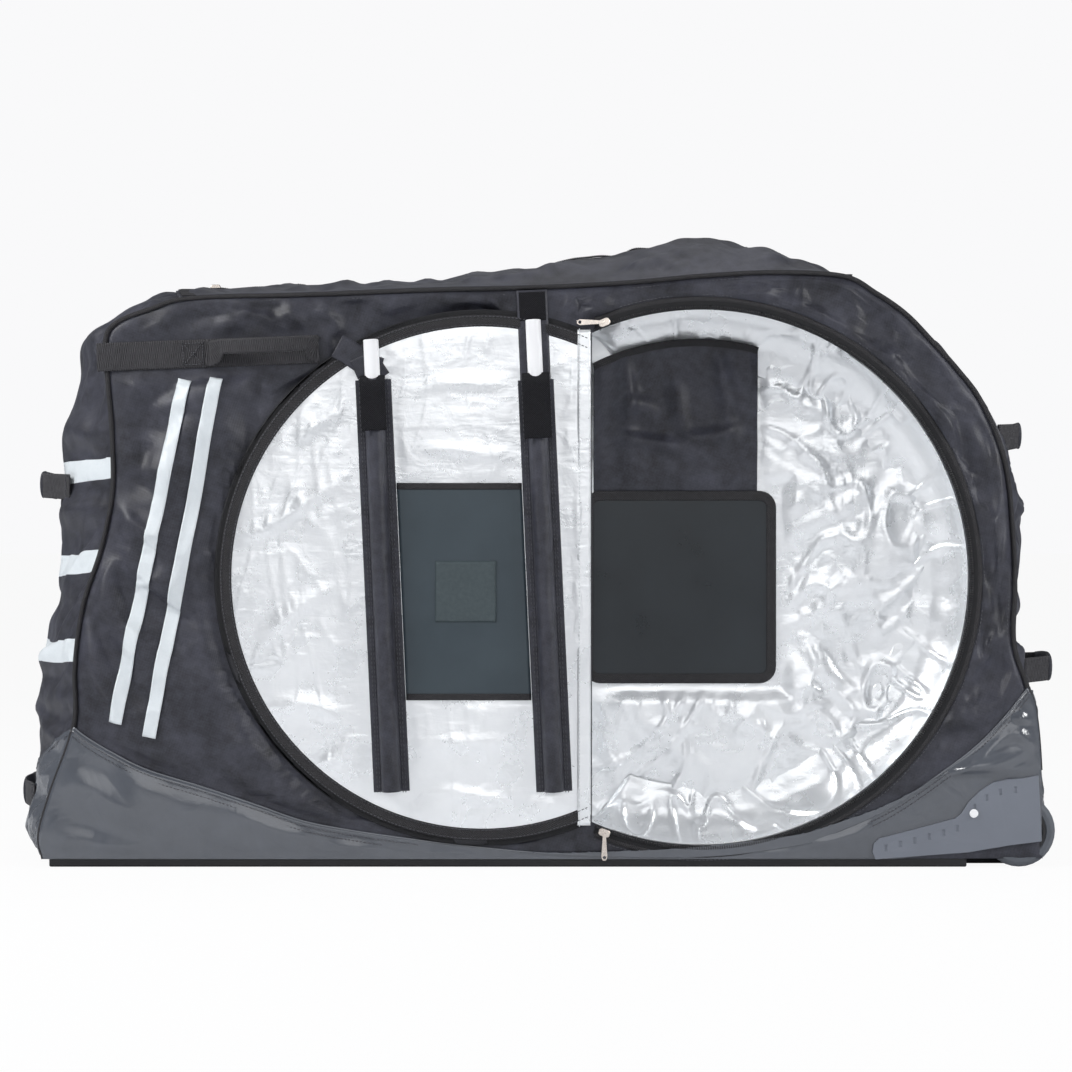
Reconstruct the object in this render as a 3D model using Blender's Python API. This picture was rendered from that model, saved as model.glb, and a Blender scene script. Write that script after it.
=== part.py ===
# Soft travel bag for a bicycle, standing on its base, near side pocket open.
# Metres, +Z up, +X towards the rollers, -Y towards the open side pocket.
# The origin is the middle of the flat underside of the base tray.
# Every size is named here; shapes below are worked out from these values.

import math

import bpy
import bmesh
from mathutils import Matrix, Vector

# Body of the bag
BODY_LENGTH = 1.323
PANEL_HEIGHT = 0.772
BODY_DEPTH = 0.360
PANEL_SHEET = 0.006
SHELL_WALL = 0.005
GAP = 0.0003

# Base tray and the board that lies on it
TRAY_THICK = 0.016
TRAY_INSET = 0.0062
BOARD_THICK = 0.004
BOARD_LEFT_INSET = 0.020
BOARD_RIGHT_INSET = 0.0118
BOARD_SIDE_INSET = 0.0077

# Round opening of each side pocket, cut straight along the hinge
OPENING_RADIUS = 0.3517
OPENING_HEIGHT = 0.3806
HINGE_SHARE = 0.0481
HINGE_TO_CENTRE = 0.1436
HINGE_STAND_OFF = 0.0003
FLAP_THICK = 0.005
FLAP_AWAY = 0.0008
FLAP_HINGE_GAP = 0.001
ZIP_RING = 0.016
TRACK_WIDTH = 0.0115
TRACK_THICK = 0.0025
TRACK_HINGE_GAP = 0.004

# Reinforcing plate and pad on the inner face of the flap
PLATE_HEIGHT = 0.274
PLATE_THICK = 0.003
PLATE_Z = 0.3622
PAD_SIDE = 0.081
PAD_THICK = 0.002
PAD_FROM_HINGE = 0.1652
PAD_Z = 0.3622

# Two sleeves on the flap, each with a rod that slides in it
SLEEVE_TOP = 0.6396
SLEEVE_FOOT = 0.1006
SLEEVE_LEFT_FROM_HINGE = 0.2744
SLEEVE_RIGHT_FROM_HINGE = 0.0616
SLEEVE_LEAN = math.radians(2.6)
SLEEVE_FLANGE = 0.047
SLEEVE_FLANGE_THICK = 0.0016
SLEEVE_WIDTH = 0.0262
SLEEVE_DEPTH = 0.0245
SLEEVE_BORE = 0.0214
SLEEVE_SOLE = 0.0025
ROD_RADIUS = 0.010
ROD_LEFT_RISE = 0.0520
ROD_RIGHT_RISE = 0.0780
TAB_THICK = 0.002
TAB_WIDTH = 0.042
TAB_RISE = 0.076
TAB_LEFT_REACH = 0.026

# Dividers between the side pockets and the main compartment
DIVIDER_FACE = 0.079
DIVIDER_THICK = 0.006
DIVIDER_CLEAR = 0.003
HUB_PLATE_SIDE = 0.257
HUB_PLATE_THICK = 0.003
HUB_PLATE_FROM_HINGE = 0.1209
HUB_PLATE_Z = 0.366
HUB_PLATE_CORNER = 0.020

# Tarpaulin skirts along the foot of both panels
SKIRT_THICK = 0.002

# Moulded roller housings and their rollers
HOUSING_END_INSET = 0.0010
HOUSING_Z = 0.0114
HOUSING_LENGTH = 0.2217
HOUSING_HEIGHT = 0.1101
CHEEK_THICK = 0.0034
HOUSING_DEPTH = 0.048
FORK_CHEEK = 0.0045
ROLLER_CLEAR = 0.005
SLOT_WIDTH = 0.0035
SLOT_HEIGHT = 0.0080
SLOT_DEPTH = 0.0012
SLOT_INSET = 0.0105
RIVET_RADIUS = 0.0057
RIVET_THICK = 0.0020
ROLLER_INSET = 0.0269
ROLLER_RADIUS = 0.0475
ROLLER_WIDTH = 0.030
TYRE_DEPTH = 0.0130
TYRE_ROUND = 0.0060
HUB_WALL = 0.0040
HUB_WEB = 0.008
HUB_BOSS = 0.0110
HUB_BOSS_WIDTH = 0.0340
AXLE_RADIUS = 0.0040
AXLE_PLAY = 0.0005
SPOKE_WIDTH = 0.0060
SPOKES = 5

# Webbing
WEBBING = 0.0020
GRIP_THICK = 0.0030
STRIP_WIDTH = 0.037
STRIP_LEFT_SHARE = -0.4426
STRIP_RIGHT_INSET = 0.1367
STRIP_LEFT_Z = 0.6690
STRIP_SLOPE = math.radians(2.2)
GRIP_WIDTH = 0.034
SIDE_GRIP_LENGTH = 0.146
SIDE_GRIP_END = 0.024
SIDE_GRIP_RISE = 0.034
END_GRIP_HALF = 0.098
END_GRIP_SEWN = 0.026
END_GRIP_RISE = 0.032
END_GRIP_WIDTH = 0.036
END_GRIP_SEAT = 0.0005

# Zips
SLIDER_LENGTH = 0.015
SLIDER_WIDTH = 0.0100
SLIDER_THICK = 0.0050
SLIDER_TURN = 0.016
PULL_LENGTH = 0.036
PULL_WIDTH = 0.0080
PULL_THICK = 0.0016
PULL_EYE = 0.0021
TOP_CHAIN_WIDTH = 0.010
TOP_CHAIN_THICK = 0.0015
TOP_SLIDER_START = 0.022
OVERRUN = 0.010

# Counts
OPENING_STEPS = 40
ROLLER_STEPS = 32
GUSSET_COLUMNS = 10
FLAP_COLUMNS = 5

# Outline of the bag, from the foot of the left end over the top to the foot of the right end.
# Each row is x and z on the panel seam, then x and z on the middle plane,
# as shares of the body length and of the panel height above the tray.
OUTLINE_SHARES = (
    (-0.496, -0.006, -0.520, -0.006),
    (-0.500, 0.035, -0.529, 0.041),
    (-0.488, 0.110, -0.521, 0.119),
    (-0.466, 0.221, -0.520, 0.221),
    (-0.465, 0.321, -0.516, 0.316),
    (-0.457, 0.423, -0.503, 0.416),
    (-0.439, 0.520, -0.497, 0.510),
    (-0.428, 0.613, -0.497, 0.603),
    (-0.428, 0.706, -0.498, 0.701),
    (-0.432, 0.799, -0.483, 0.799),
    (-0.435, 0.872, -0.465, 0.882),
    (-0.425, 0.904, -0.447, 0.921),
    (-0.391, 0.928, -0.408, 0.955),
    (-0.349, 0.947, -0.364, 0.975),
    (-0.234, 0.953, -0.243, 0.9815),
    (-0.116, 0.961, -0.120, 0.988),
    (0.000, 0.966, 0.000, 1.022),
    (0.085, 0.974, 0.089, 1.042),
    (0.157, 0.985, 0.162, 1.061),
    (0.227, 0.991, 0.235, 1.044),
    (0.298, 0.986, 0.308, 0.994),
    (0.333, 0.959, 0.337, 0.963),
    (0.364, 0.924, 0.368, 0.927),
    (0.391, 0.876, 0.395, 0.879),
    (0.415, 0.830, 0.420, 0.832),
    (0.436, 0.779, 0.449, 0.781),
    (0.453, 0.706, 0.477, 0.707),
    (0.461, 0.640, 0.490, 0.630),
    (0.466, 0.543, 0.495, 0.543),
    (0.468, 0.454, 0.491, 0.454),
    (0.467, 0.361, 0.491, 0.371),
    (0.479, 0.292, 0.499, 0.294),
    (0.488, 0.241, 0.500, 0.241),
    (0.493, 0.139, 0.498, 0.139),
    (0.494, -0.006, 0.495, -0.006),
)
TOP_FIRST_ROW = 13
TOP_LAST_ROW = 20
BULGE_POWER_SHARE = 2.4

# Top edge of the skirt from the left end to the right end, as the same kind of shares.
SKIRT_SHARES = (
    (-0.4700, 0.218),
    (-0.4560, 0.200),
    (-0.4300, 0.174),
    (-0.3950, 0.145),
    (-0.3420, 0.117),
    (-0.2890, 0.087),
    (-0.2400, 0.058),
    (-0.1930, 0.042),
    (-0.1420, 0.029),
    (-0.0720, 0.014),
    (0.0170, 0.001),
    (0.1550, -0.003),
    (0.2540, 0.017),
    (0.2890, 0.038),
    (0.3410, 0.079),
    (0.3920, 0.139),
    (0.4260, 0.186),
    (0.4520, 0.236),
    (0.4690, 0.276),
)
SKIRT_INSET = 0.0012

# Outline of the roller housing as shares of its length and height.
HOUSING_SHARES = (
    (0.018, 0.000),
    (0.000, 0.083),
    (0.009, 0.190),
    (0.041, 0.250),
    (0.249, 0.357),
    (0.491, 0.488),
    (0.526, 0.548),
    (0.568, 0.678),
    (0.633, 0.809),
    (0.710, 0.916),
    (0.793, 0.953),
    (0.888, 0.965),
    (0.982, 1.000),
    (0.988, 0.774),
    (1.000, 0.214),
    (0.811, 0.166),
    (0.568, 0.083),
    (0.089, 0.012),
)
HOUSING_BLOCK_ROW = 7
HOUSING_TOP_ROW = 12
RIVET_SHARES = (0.598, 0.548)
HOUSING_SLOT_SHARES = (0.080, 0.165, 0.250, 0.335, 0.420, 0.500, 0.605, 0.675, 0.755, 0.845)

# Heights of the end grips as shares of the panel height above the tray.
LEFT_GRIP_SHARES = (0.632, 0.092)
RIGHT_GRIP_SHARES = (0.719, 0.302)

# Places worked out from the sizes above
PANEL_FACE = -BODY_DEPTH / 2
PANEL_BACK = PANEL_FACE + PANEL_SHEET
SHELL_EDGE = PANEL_BACK + GAP
HINGE_X = HINGE_SHARE * BODY_LENGTH
HINGE_Y = PANEL_FACE - HINGE_STAND_OFF
CIRCLE_X = HINGE_X + HINGE_TO_CENTRE
FLAP_CIRCLE_X = HINGE_X - HINGE_TO_CENTRE
FLAP_BACK = PANEL_FACE - FLAP_AWAY
FLAP_FACE = FLAP_BACK - FLAP_THICK
FLAP_RADIUS = OPENING_RADIUS - GAP
TRACK_INNER = OPENING_RADIUS + GAP
TRACK_OUTER = TRACK_INNER + TRACK_WIDTH
LINING_FACE = FLAP_FACE - GAP
PAD_X = HINGE_X - PAD_FROM_HINGE
SLEEVE_LEFT_X = HINGE_X - SLEEVE_LEFT_FROM_HINGE
SLEEVE_RIGHT_X = HINGE_X - SLEEVE_RIGHT_FROM_HINGE
HUB_PLATE_X = HINGE_X + HUB_PLATE_FROM_HINGE
STRIP_LEFT_X = STRIP_LEFT_SHARE * BODY_LENGTH
STRIP_RIGHT_X = FLAP_CIRCLE_X - OPENING_RADIUS + STRIP_RIGHT_INSET
TRAY_LEFT = -OUTLINE_SHARES[0][0] * BODY_LENGTH - TRAY_INSET
TRAY_RIGHT = OUTLINE_SHARES[-1][0] * BODY_LENGTH - TRAY_INSET
HOUSING_END = OUTLINE_SHARES[-1][0] * BODY_LENGTH - HOUSING_END_INSET
HOUSING_X = HOUSING_END - HOUSING_LENGTH
ROLLER_X = HOUSING_END - ROLLER_INSET
BLOCK_START = HOUSING_X + HOUSING_SHARES[HOUSING_BLOCK_ROW][0] * HOUSING_LENGTH
BOARD_LEFT = TRAY_LEFT - BOARD_LEFT_INSET
BOARD_RIGHT = BLOCK_START - BOARD_RIGHT_INSET
BOARD_HALF_WIDTH = -SHELL_EDGE - BOARD_SIDE_INSET
ROLLER_Z = ROLLER_RADIUS
SKIRT_BACK = PANEL_FACE - GAP
SKIRT_FACE = SKIRT_BACK - SKIRT_THICK
HOUSING_BACK = SKIRT_FACE - GAP
HOUSING_FACE = HOUSING_BACK - CHEEK_THICK
HOUSING_INNER = HOUSING_FACE + HOUSING_DEPTH
ROLLER_Y = (HOUSING_FACE + HOUSING_INNER) / 2
DIVIDER_FOOT = TRAY_THICK + BOARD_THICK + 2 * GAP


def clear_scene():
    for item in list(bpy.data.objects):
        bpy.data.objects.remove(item, do_unlink=True)


def material(name, colour, roughness, metallic=0.0):
    """One plain material in the colour, as sRGB hex, that the photographed part shows."""
    found = bpy.data.materials.get(name)
    if found:
        return found
    made = bpy.data.materials.new(name)
    made.use_nodes = True
    shader = made.node_tree.nodes["Principled BSDF"]
    levels = [int(colour[i:i + 2], 16) / 255 for i in (0, 2, 4)]
    linear = [v / 12.92 if v <= 0.04045 else ((v + 0.055) / 1.055) ** 2.4 for v in levels]
    shader.inputs["Base Color"].default_value = (*linear, 1)
    shader.inputs["Roughness"].default_value = roughness
    shader.inputs["Metallic"].default_value = metallic
    made.diffuse_color = (*linear, 1)
    return made


def black_nylon():
    return material("black_nylon", "34343C", 0.75)


def grey_tarpaulin():
    return material("grey_tarpaulin", "646870", 0.38)


def silver_lining():
    return material("silver_lining", "DFE5E8", 0.35, 0.3)


def black_webbing():
    return material("black_webbing", "2E2C2B", 0.8)


def dark_binding():
    return material("dark_binding", "3F3A38", 0.7)


def dark_plate():
    return material("dark_plate", "3D474C", 0.45)


def grey_plastic():
    return material("grey_plastic", "6B6F77", 0.5)


def black_plastic():
    return material("black_plastic", "1B1B1E", 0.5)


def roller_rubber():
    return material("roller_rubber", "5C6067", 0.55)


def bright_metal():
    return material("bright_metal", "D8CCC0", 0.25, 1.0)


def white_plastic():
    return material("white_plastic", "F4F4F2", 0.4)


def new_object(name, mesh, surface):
    """Link a mesh as a named object with its faces turned outwards."""
    shape = bmesh.new()
    shape.from_mesh(mesh)
    bmesh.ops.recalc_face_normals(shape, faces=shape.faces)
    shape.to_mesh(mesh)
    shape.free()
    made = bpy.data.objects.new(name, mesh)
    bpy.context.scene.collection.objects.link(made)
    mesh.materials.append(surface)
    return made


def solid(name, points, faces, surface):
    mesh = bpy.data.meshes.new(name)
    mesh.from_pydata(points, [], faces)
    return new_object(name, mesh, surface)


def slab(name, outline, y_front, y_back, surface):
    """A prism: an outline of (x, z) points between two depths."""
    count = len(outline)
    points = [(x, y_front, z) for x, z in outline] + [(x, y_back, z) for x, z in outline]
    faces = [tuple(range(count)), tuple(range(2 * count - 1, count - 1, -1))]
    for i in range(count):
        j = (i + 1) % count
        faces.append((i, count + i, count + j, j))
    return solid(name, points, faces, surface)


def block(name, x_range, y_range, z_range, surface):
    corners = [(x_range[i], z_range[j]) for i, j in ((0, 0), (1, 0), (1, 1), (0, 1))]
    return slab(name, corners, y_range[0], y_range[1], surface)


def turned(name, profile, centre, surface, steps=ROLLER_STEPS):
    """A ring about an axis along Y through centre; profile holds (radius, offset along Y)."""
    points = []
    faces = []
    count = len(profile)
    for i in range(steps):
        angle = 2 * math.pi * i / steps
        for radius, offset in profile:
            x = centre[0] + radius * math.cos(angle)
            z = centre[2] + radius * math.sin(angle)
            points.append((x, centre[1] + offset, z))
    for i in range(steps):
        for k in range(count):
            a = i * count + k
            b = i * count + (k + 1) % count
            c = ((i + 1) % steps) * count + (k + 1) % count
            d = ((i + 1) % steps) * count + k
            faces.append((a, b, c, d))
    made = solid(name, points, faces, surface)
    smooth(made)
    return made


def rod(name, foot, top, radius, surface, steps=16):
    """A round bar between two points."""
    along = Vector(top) - Vector(foot)
    mesh = bpy.data.meshes.new(name)
    shape = bmesh.new()
    place = Matrix.Translation((Vector(foot) + Vector(top)) / 2)
    place = place @ along.to_track_quat("Z", "Y").to_matrix().to_4x4()
    bmesh.ops.create_cone(shape, cap_ends=True, segments=steps, radius1=radius,
                          radius2=radius, depth=along.length, matrix=place)
    shape.to_mesh(mesh)
    shape.free()
    made = new_object(name, mesh, surface)
    smooth(made)
    return made


def smooth(target):
    target.data.shade_smooth()
    target.data.set_sharp_from_angle(angle=math.radians(35))


def mirrored(source, name, across_hinge=False):
    """A copy for the far side. A flap's pieces are also turned over the hinge, which closes them."""
    mesh = source.data.copy()
    mesh.name = name
    for vertex in mesh.vertices:
        x, y, z = source.matrix_world @ vertex.co
        if across_hinge:
            vertex.co = (2 * HINGE_X - x, y - 2 * HINGE_Y, z)
        else:
            vertex.co = (x, -y, z)
    made = bpy.data.objects.new(name, mesh)
    bpy.context.scene.collection.objects.link(made)
    mesh.flip_normals()
    for modifier in source.modifiers:
        far_cutter = mirrored(modifier.object, modifier.object.name + "_far", across_hinge)
        hide_cutter(far_cutter)
        subtract(made, far_cutter)
    return made


def hide_cutter(cutter):
    cutter.hide_render = True
    cutter.display_type = "WIRE"


def subtract(target, cutter):
    """Cut one closed shape out of another."""
    hide_cutter(cutter)
    cut = target.modifiers.new("cut", "BOOLEAN")
    cut.operation = "DIFFERENCE"
    cut.solver = "EXACT"
    cut.object = cutter


def axis_empty(name, place):
    made = bpy.data.objects.new(name, None)
    made.location = place
    made.empty_display_size = SLIDER_LENGTH
    bpy.context.scene.collection.objects.link(made)
    return made


def carry(parent, children):
    """Parent pieces to an empty on their joint's axis without moving them."""
    for child in children:
        child.parent = parent
        child.matrix_parent_inverse = Matrix.Translation(parent.location).inverted()


def seam(row):
    x_share, z_share = OUTLINE_SHARES[row][:2]
    return x_share * BODY_LENGTH, TRAY_THICK + z_share * PANEL_HEIGHT


def crest(row):
    x_share, z_share = OUTLINE_SHARES[row][2:]
    return x_share * BODY_LENGTH, TRAY_THICK + z_share * PANEL_HEIGHT


def bulge(y):
    """How far the end shells have swollen at depth y, from 0 at the seams to 1 in the middle."""
    return 1 - min(1, abs(y) / -SHELL_EDGE) ** BULGE_POWER_SHARE


def inward(row):
    """Unit direction across the outline towards the inside of the bag."""
    last = len(OUTLINE_SHARES) - 1
    before = seam(max(row - 1, 0))
    after = seam(min(row + 1, last))
    along = Vector((after[0] - before[0], after[1] - before[1])).normalized()
    return Vector((along[1], -along[0]))


def shell_point(row, y, inset=0.0):
    """A point of the swollen outline at depth y, moved inwards by inset, as (x, z)."""
    share = bulge(y)
    x = seam(row)[0] + share * (crest(row)[0] - seam(row)[0])
    z = seam(row)[1] + share * (crest(row)[1] - seam(row)[1])
    step = inward(row) * inset
    return x + step[0], z + step[1]


def shell(name, outer, inner, surface):
    """A closed wall between two grids of points, given as rows of equal length."""
    rows = len(outer)
    columns = len(outer[0])
    points = [p for row in outer for p in row] + [p for row in inner for p in row]
    half = rows * columns
    faces = []
    for i in range(rows - 1):
        for j in range(columns - 1):
            a = i * columns + j
            face = (a, a + 1, a + columns + 1, a + columns)
            faces.append(face)
            faces.append(tuple(half + k for k in reversed(face)))
    rim = [j for j in range(columns)]
    rim += [i * columns + columns - 1 for i in range(1, rows)]
    rim += [(rows - 1) * columns + j for j in range(columns - 2, -1, -1)]
    rim += [i * columns for i in range(rows - 2, 0, -1)]
    for k, a in enumerate(rim):
        b = rim[(k + 1) % len(rim)]
        faces.append((a, half + a, half + b, b))
    made = solid(name, points, faces, surface)
    smooth(made)
    return made


def gusset(name, first, last, surface):
    """The swollen end of the bag between the two side panels."""
    depths = [SHELL_EDGE - 2 * SHELL_EDGE * j / GUSSET_COLUMNS for j in range(GUSSET_COLUMNS + 1)]
    outer = []
    inner = []
    for row in range(first, last + 1):
        shift = 0.0
        if row == TOP_FIRST_ROW:
            shift = -GAP
        if row == TOP_LAST_ROW:
            shift = GAP
        outer_row = []
        inner_row = []
        for y in depths:
            x, z = shell_point(row, y)
            outer_row.append((x + shift, y, z))
            x, z = shell_point(row, y, SHELL_WALL)
            inner_row.append((x + shift, y, z))
        outer.append(outer_row)
        inner.append(inner_row)
    return shell(name, outer, inner, surface)


def top_flap(name, surface):
    """Half of the lid, from the seam of the near panel to the zip along the middle."""
    depths = [PANEL_FACE * (1 - j / FLAP_COLUMNS) for j in range(FLAP_COLUMNS + 1)]
    depths[-1] = -GAP
    outer = []
    inner = []
    for row in range(TOP_FIRST_ROW, TOP_LAST_ROW + 1):
        outer_row = []
        inner_row = []
        for y in depths:
            x, z = shell_point(row, y)
            outer_row.append((x, y, z + GAP + SHELL_WALL))
            inner_row.append((x, y, z + GAP))
        outer.append(outer_row)
        inner.append(inner_row)
    return shell(name, outer, inner, surface)


def crown_line(y, lift):
    """Points along the crown of the lid at depth y, lifted off the fabric."""
    line = []
    for row in range(TOP_FIRST_ROW, TOP_LAST_ROW + 1):
        x, z = shell_point(row, y)
        line.append((x, z + GAP + SHELL_WALL + lift))
    return line


def top_zip(surface):
    """The zip tape and teeth along the free edge of the near half of the lid."""
    low = crown_line(-GAP, GAP)
    high = crown_line(-GAP, GAP + TOP_CHAIN_THICK)
    outline = low + list(reversed(high))
    return slab("top_zip_chain", outline, -TOP_CHAIN_WIDTH, -GAP, surface)


def top_slider(surface):
    """The slider at the left end of the lid's zip."""
    start = crown_line(-GAP, 2 * GAP + TOP_CHAIN_THICK)
    along = Vector((start[1][0] - start[0][0], start[1][1] - start[0][1])).normalized()
    up = Vector((-along[1], along[0]))
    foot = Vector(start[0]) + along * TOP_SLIDER_START
    corners = [foot, foot + along * SLIDER_LENGTH]
    corners.append(corners[1] + up * SLIDER_THICK - along * SLIDER_THICK / 2)
    corners.append(corners[0] + up * SLIDER_THICK + along * SLIDER_THICK / 2)
    outline = [tuple(c) for c in corners]
    return slab("top_slider", outline, -TOP_CHAIN_WIDTH, -GAP, surface)


def arc(centre_x, radius, start, end, steps):
    """Points of an arc about the opening's height, angles in radians from +X towards +Z."""
    line = []
    for i in range(steps + 1):
        angle = start + (end - start) * i / steps
        x = centre_x + radius * math.cos(angle)
        z = OPENING_HEIGHT + radius * math.sin(angle)
        line.append((x, z))
    return line


def chord_angle(radius, offset):
    """Half angle of the arc that is left when the circle is cut at offset from its centre."""
    return math.pi - math.acos(offset / radius)


def panel_outline():
    return [seam(row) for row in range(len(OUTLINE_SHARES))]


def opening_cutter(name):
    reach = chord_angle(OPENING_RADIUS, HINGE_TO_CENTRE)
    outline = arc(CIRCLE_X, OPENING_RADIUS, -reach, reach, OPENING_STEPS)
    return slab(name, outline, PANEL_FACE - OVERRUN, PANEL_BACK + OVERRUN, black_plastic())


def housing_points():
    points = []
    for x_share, z_share in HOUSING_SHARES:
        points.append((HOUSING_X + x_share * HOUSING_LENGTH, HOUSING_Z + z_share * HOUSING_HEIGHT))
    return points


def corner_cutter(name):
    """The room that the housing's block takes from the lower corner of the body."""
    points = housing_points()
    start = points[HOUSING_BLOCK_ROW]
    end = points[HOUSING_TOP_ROW]
    outline = [(start[0] - GAP, -OVERRUN), (start[0] - GAP, start[1] + GAP)]
    outline += [(x, z + 2 * GAP) for x, z in points[HOUSING_BLOCK_ROW + 1:HOUSING_TOP_ROW + 1]]
    outline += [(end[0] + 2 * OVERRUN, end[1] + 2 * GAP), (end[0] + 2 * OVERRUN, -OVERRUN)]
    return slab(name, outline, SKIRT_FACE - OVERRUN, HOUSING_INNER + GAP, black_plastic())


def side_panel(surface):
    """The near panel with its round opening and the corner cut for the roller housing."""
    made = slab("near_side_panel", panel_outline(), PANEL_FACE, PANEL_BACK, surface)
    subtract(made, opening_cutter("near_opening_cutter"))
    subtract(made, corner_cutter("near_panel_corner_cutter"))
    return made


def skirt(surface):
    """The tarpaulin layer along the foot of the near panel."""
    line = []
    for x_share, z_share in SKIRT_SHARES:
        line.append((x_share * BODY_LENGTH, TRAY_THICK + z_share * PANEL_HEIGHT))
    right = [seam(row) for row in (32, 33, 34)]
    left = [seam(row) for row in (0, 1, 2)]
    outline = line + [(x - SKIRT_INSET, z) for x, z in right] + [(x + SKIRT_INSET, z) for x, z in left]
    made = slab("near_skirt", outline, SKIRT_FACE, SKIRT_BACK, surface)
    subtract(made, corner_cutter("near_skirt_corner_cutter"))
    return made


def base_tray(surface):
    """The stiff base, notched at the right for the two roller housings."""
    start = BLOCK_START - GAP
    wide = -SHELL_EDGE
    narrow = -HOUSING_INNER - GAP
    plan = [(-TRAY_LEFT, -wide), (start, -wide), (start, -narrow), (TRAY_RIGHT, -narrow),
            (TRAY_RIGHT, narrow), (start, narrow), (start, wide), (-TRAY_LEFT, wide)]
    count = len(plan)
    points = [(x, y, 0) for x, y in plan] + [(x, y, TRAY_THICK) for x, y in plan]
    faces = [tuple(range(count)), tuple(range(count, 2 * count))]
    for i in range(count):
        j = (i + 1) % count
        faces.append((i, j, count + j, count + i))
    return solid("base_tray", points, faces, surface)


def floor_board(surface):
    foot = TRAY_THICK + GAP
    return block("floor_board", (-BOARD_LEFT, BOARD_RIGHT), (-BOARD_HALF_WIDTH, BOARD_HALF_WIDTH),
                 (foot, foot + BOARD_THICK), surface)


def divider(surface):
    """The near divider wall, standing on the floor board, just inside the shell."""
    inset = SHELL_WALL + DIVIDER_CLEAR
    outline = []
    for row in range(1, len(OUTLINE_SHARES) - 1):
        x, z = shell_point(row, -DIVIDER_FACE, inset)
        outline.append((x, max(z, DIVIDER_FOOT + inset)))
    outline.append((BOARD_RIGHT, DIVIDER_FOOT))
    outline.append((-BOARD_LEFT, DIVIDER_FOOT))
    return slab("near_divider", outline, -DIVIDER_FACE, -DIVIDER_FACE + DIVIDER_THICK, surface)


def rounded_square(centre, side, radius):
    """Corner points of a square whose corners are rounded in three steps."""
    outline = []
    for quarter in range(4):
        turn = math.pi / 2 * quarter
        dx = math.cos(turn) - math.sin(turn)
        dz = math.sin(turn) + math.cos(turn)
        reach = side / 2 - radius
        for step in range(4):
            angle = turn + math.pi / 2 * step / 3
            x = centre[0] + dx * reach + radius * math.cos(angle)
            z = centre[1] + dz * reach + radius * math.sin(angle)
            outline.append((x, z))
    return outline


def hub_plate(surface):
    """The stiff plate that keeps a hub's end off the divider."""
    outline = rounded_square((HUB_PLATE_X, HUB_PLATE_Z), HUB_PLATE_SIDE, HUB_PLATE_CORNER)
    back = -DIVIDER_FACE - GAP
    return slab("near_hub_plate", outline, back - HUB_PLATE_THICK, back, surface)


def housing(surface):
    """The moulded housing: an arm along the foot and a fork around the roller."""
    points = housing_points()
    made = slab("near_housing", points, HOUSING_FACE, HOUSING_INNER, surface)
    start = BLOCK_START
    arm_room = block("near_arm_cutter", (HOUSING_X - OVERRUN, start), (HOUSING_BACK, HOUSING_INNER + OVERRUN),
                     (-OVERRUN, HOUSING_Z + HOUSING_HEIGHT + OVERRUN), surface)
    subtract(made, arm_room)
    room = ROLLER_RADIUS + ROLLER_CLEAR
    fork_room = block("near_fork_cutter", (ROLLER_X - room, ROLLER_X + room),
                      (HOUSING_FACE + FORK_CHEEK, HOUSING_INNER - FORK_CHEEK),
                      (-OVERRUN, ROLLER_Z + room), surface)
    subtract(made, fork_room)
    for i, share in enumerate(HOUSING_SLOT_SHARES):
        subtract(made, slot_cutter(i, share, surface))
    return made


def slot_cutter(index, share, surface):
    """One short slot a little below the housing's upper edge."""
    x = HOUSING_X + share * HOUSING_LENGTH
    points = housing_points()[3:HOUSING_TOP_ROW + 1]
    for before, after in zip(points, points[1:]):
        if before[0] <= x <= after[0]:
            edge = before[1] + (after[1] - before[1]) * (x - before[0]) / (after[0] - before[0])
    top = edge - SLOT_INSET
    return block("near_slot_cutter_%d" % index, (x - SLOT_WIDTH / 2, x + SLOT_WIDTH / 2),
                 (HOUSING_FACE - OVERRUN, HOUSING_FACE + SLOT_DEPTH), (top - SLOT_HEIGHT, top), surface)


def rivet(surface):
    back = HOUSING_FACE - GAP
    x = HOUSING_X + RIVET_SHARES[0] * HOUSING_LENGTH
    z = HOUSING_Z + RIVET_SHARES[1] * HOUSING_HEIGHT
    return rod("near_rivet", (x, back, z), (x, back - RIVET_THICK, z), RIVET_RADIUS, surface)


def roller_tyre(surface):
    half = ROLLER_WIDTH / 2
    inner = ROLLER_RADIUS - TYRE_DEPTH
    profile = [(inner, -half), (ROLLER_RADIUS - TYRE_ROUND, -half), (ROLLER_RADIUS, -half + TYRE_ROUND),
               (ROLLER_RADIUS, half - TYRE_ROUND), (ROLLER_RADIUS - TYRE_ROUND, half), (inner, half)]
    return turned("near_roller_tyre", profile, (ROLLER_X, ROLLER_Y, ROLLER_Z), surface)


def roller_hub(surface):
    """The spoked wheel inside the tyre, bored for the axle."""
    half = ROLLER_WIDTH / 2
    outer = ROLLER_RADIUS - TYRE_DEPTH - GAP
    web = HUB_WEB / 2
    boss = HUB_BOSS_WIDTH / 2
    bore = AXLE_RADIUS + AXLE_PLAY
    profile = [(bore, -boss), (HUB_BOSS, -boss), (HUB_BOSS, -web), (outer - HUB_WALL, -web),
               (outer - HUB_WALL, -half), (outer, -half), (outer, half), (outer - HUB_WALL, half),
               (outer - HUB_WALL, web), (HUB_BOSS, web), (HUB_BOSS, boss), (bore, boss)]
    made = turned("near_roller_hub", profile, (ROLLER_X, ROLLER_Y, ROLLER_Z), surface)
    for i in range(SPOKES):
        subtract(made, spoke_window(i, outer, surface))
    return made


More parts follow.
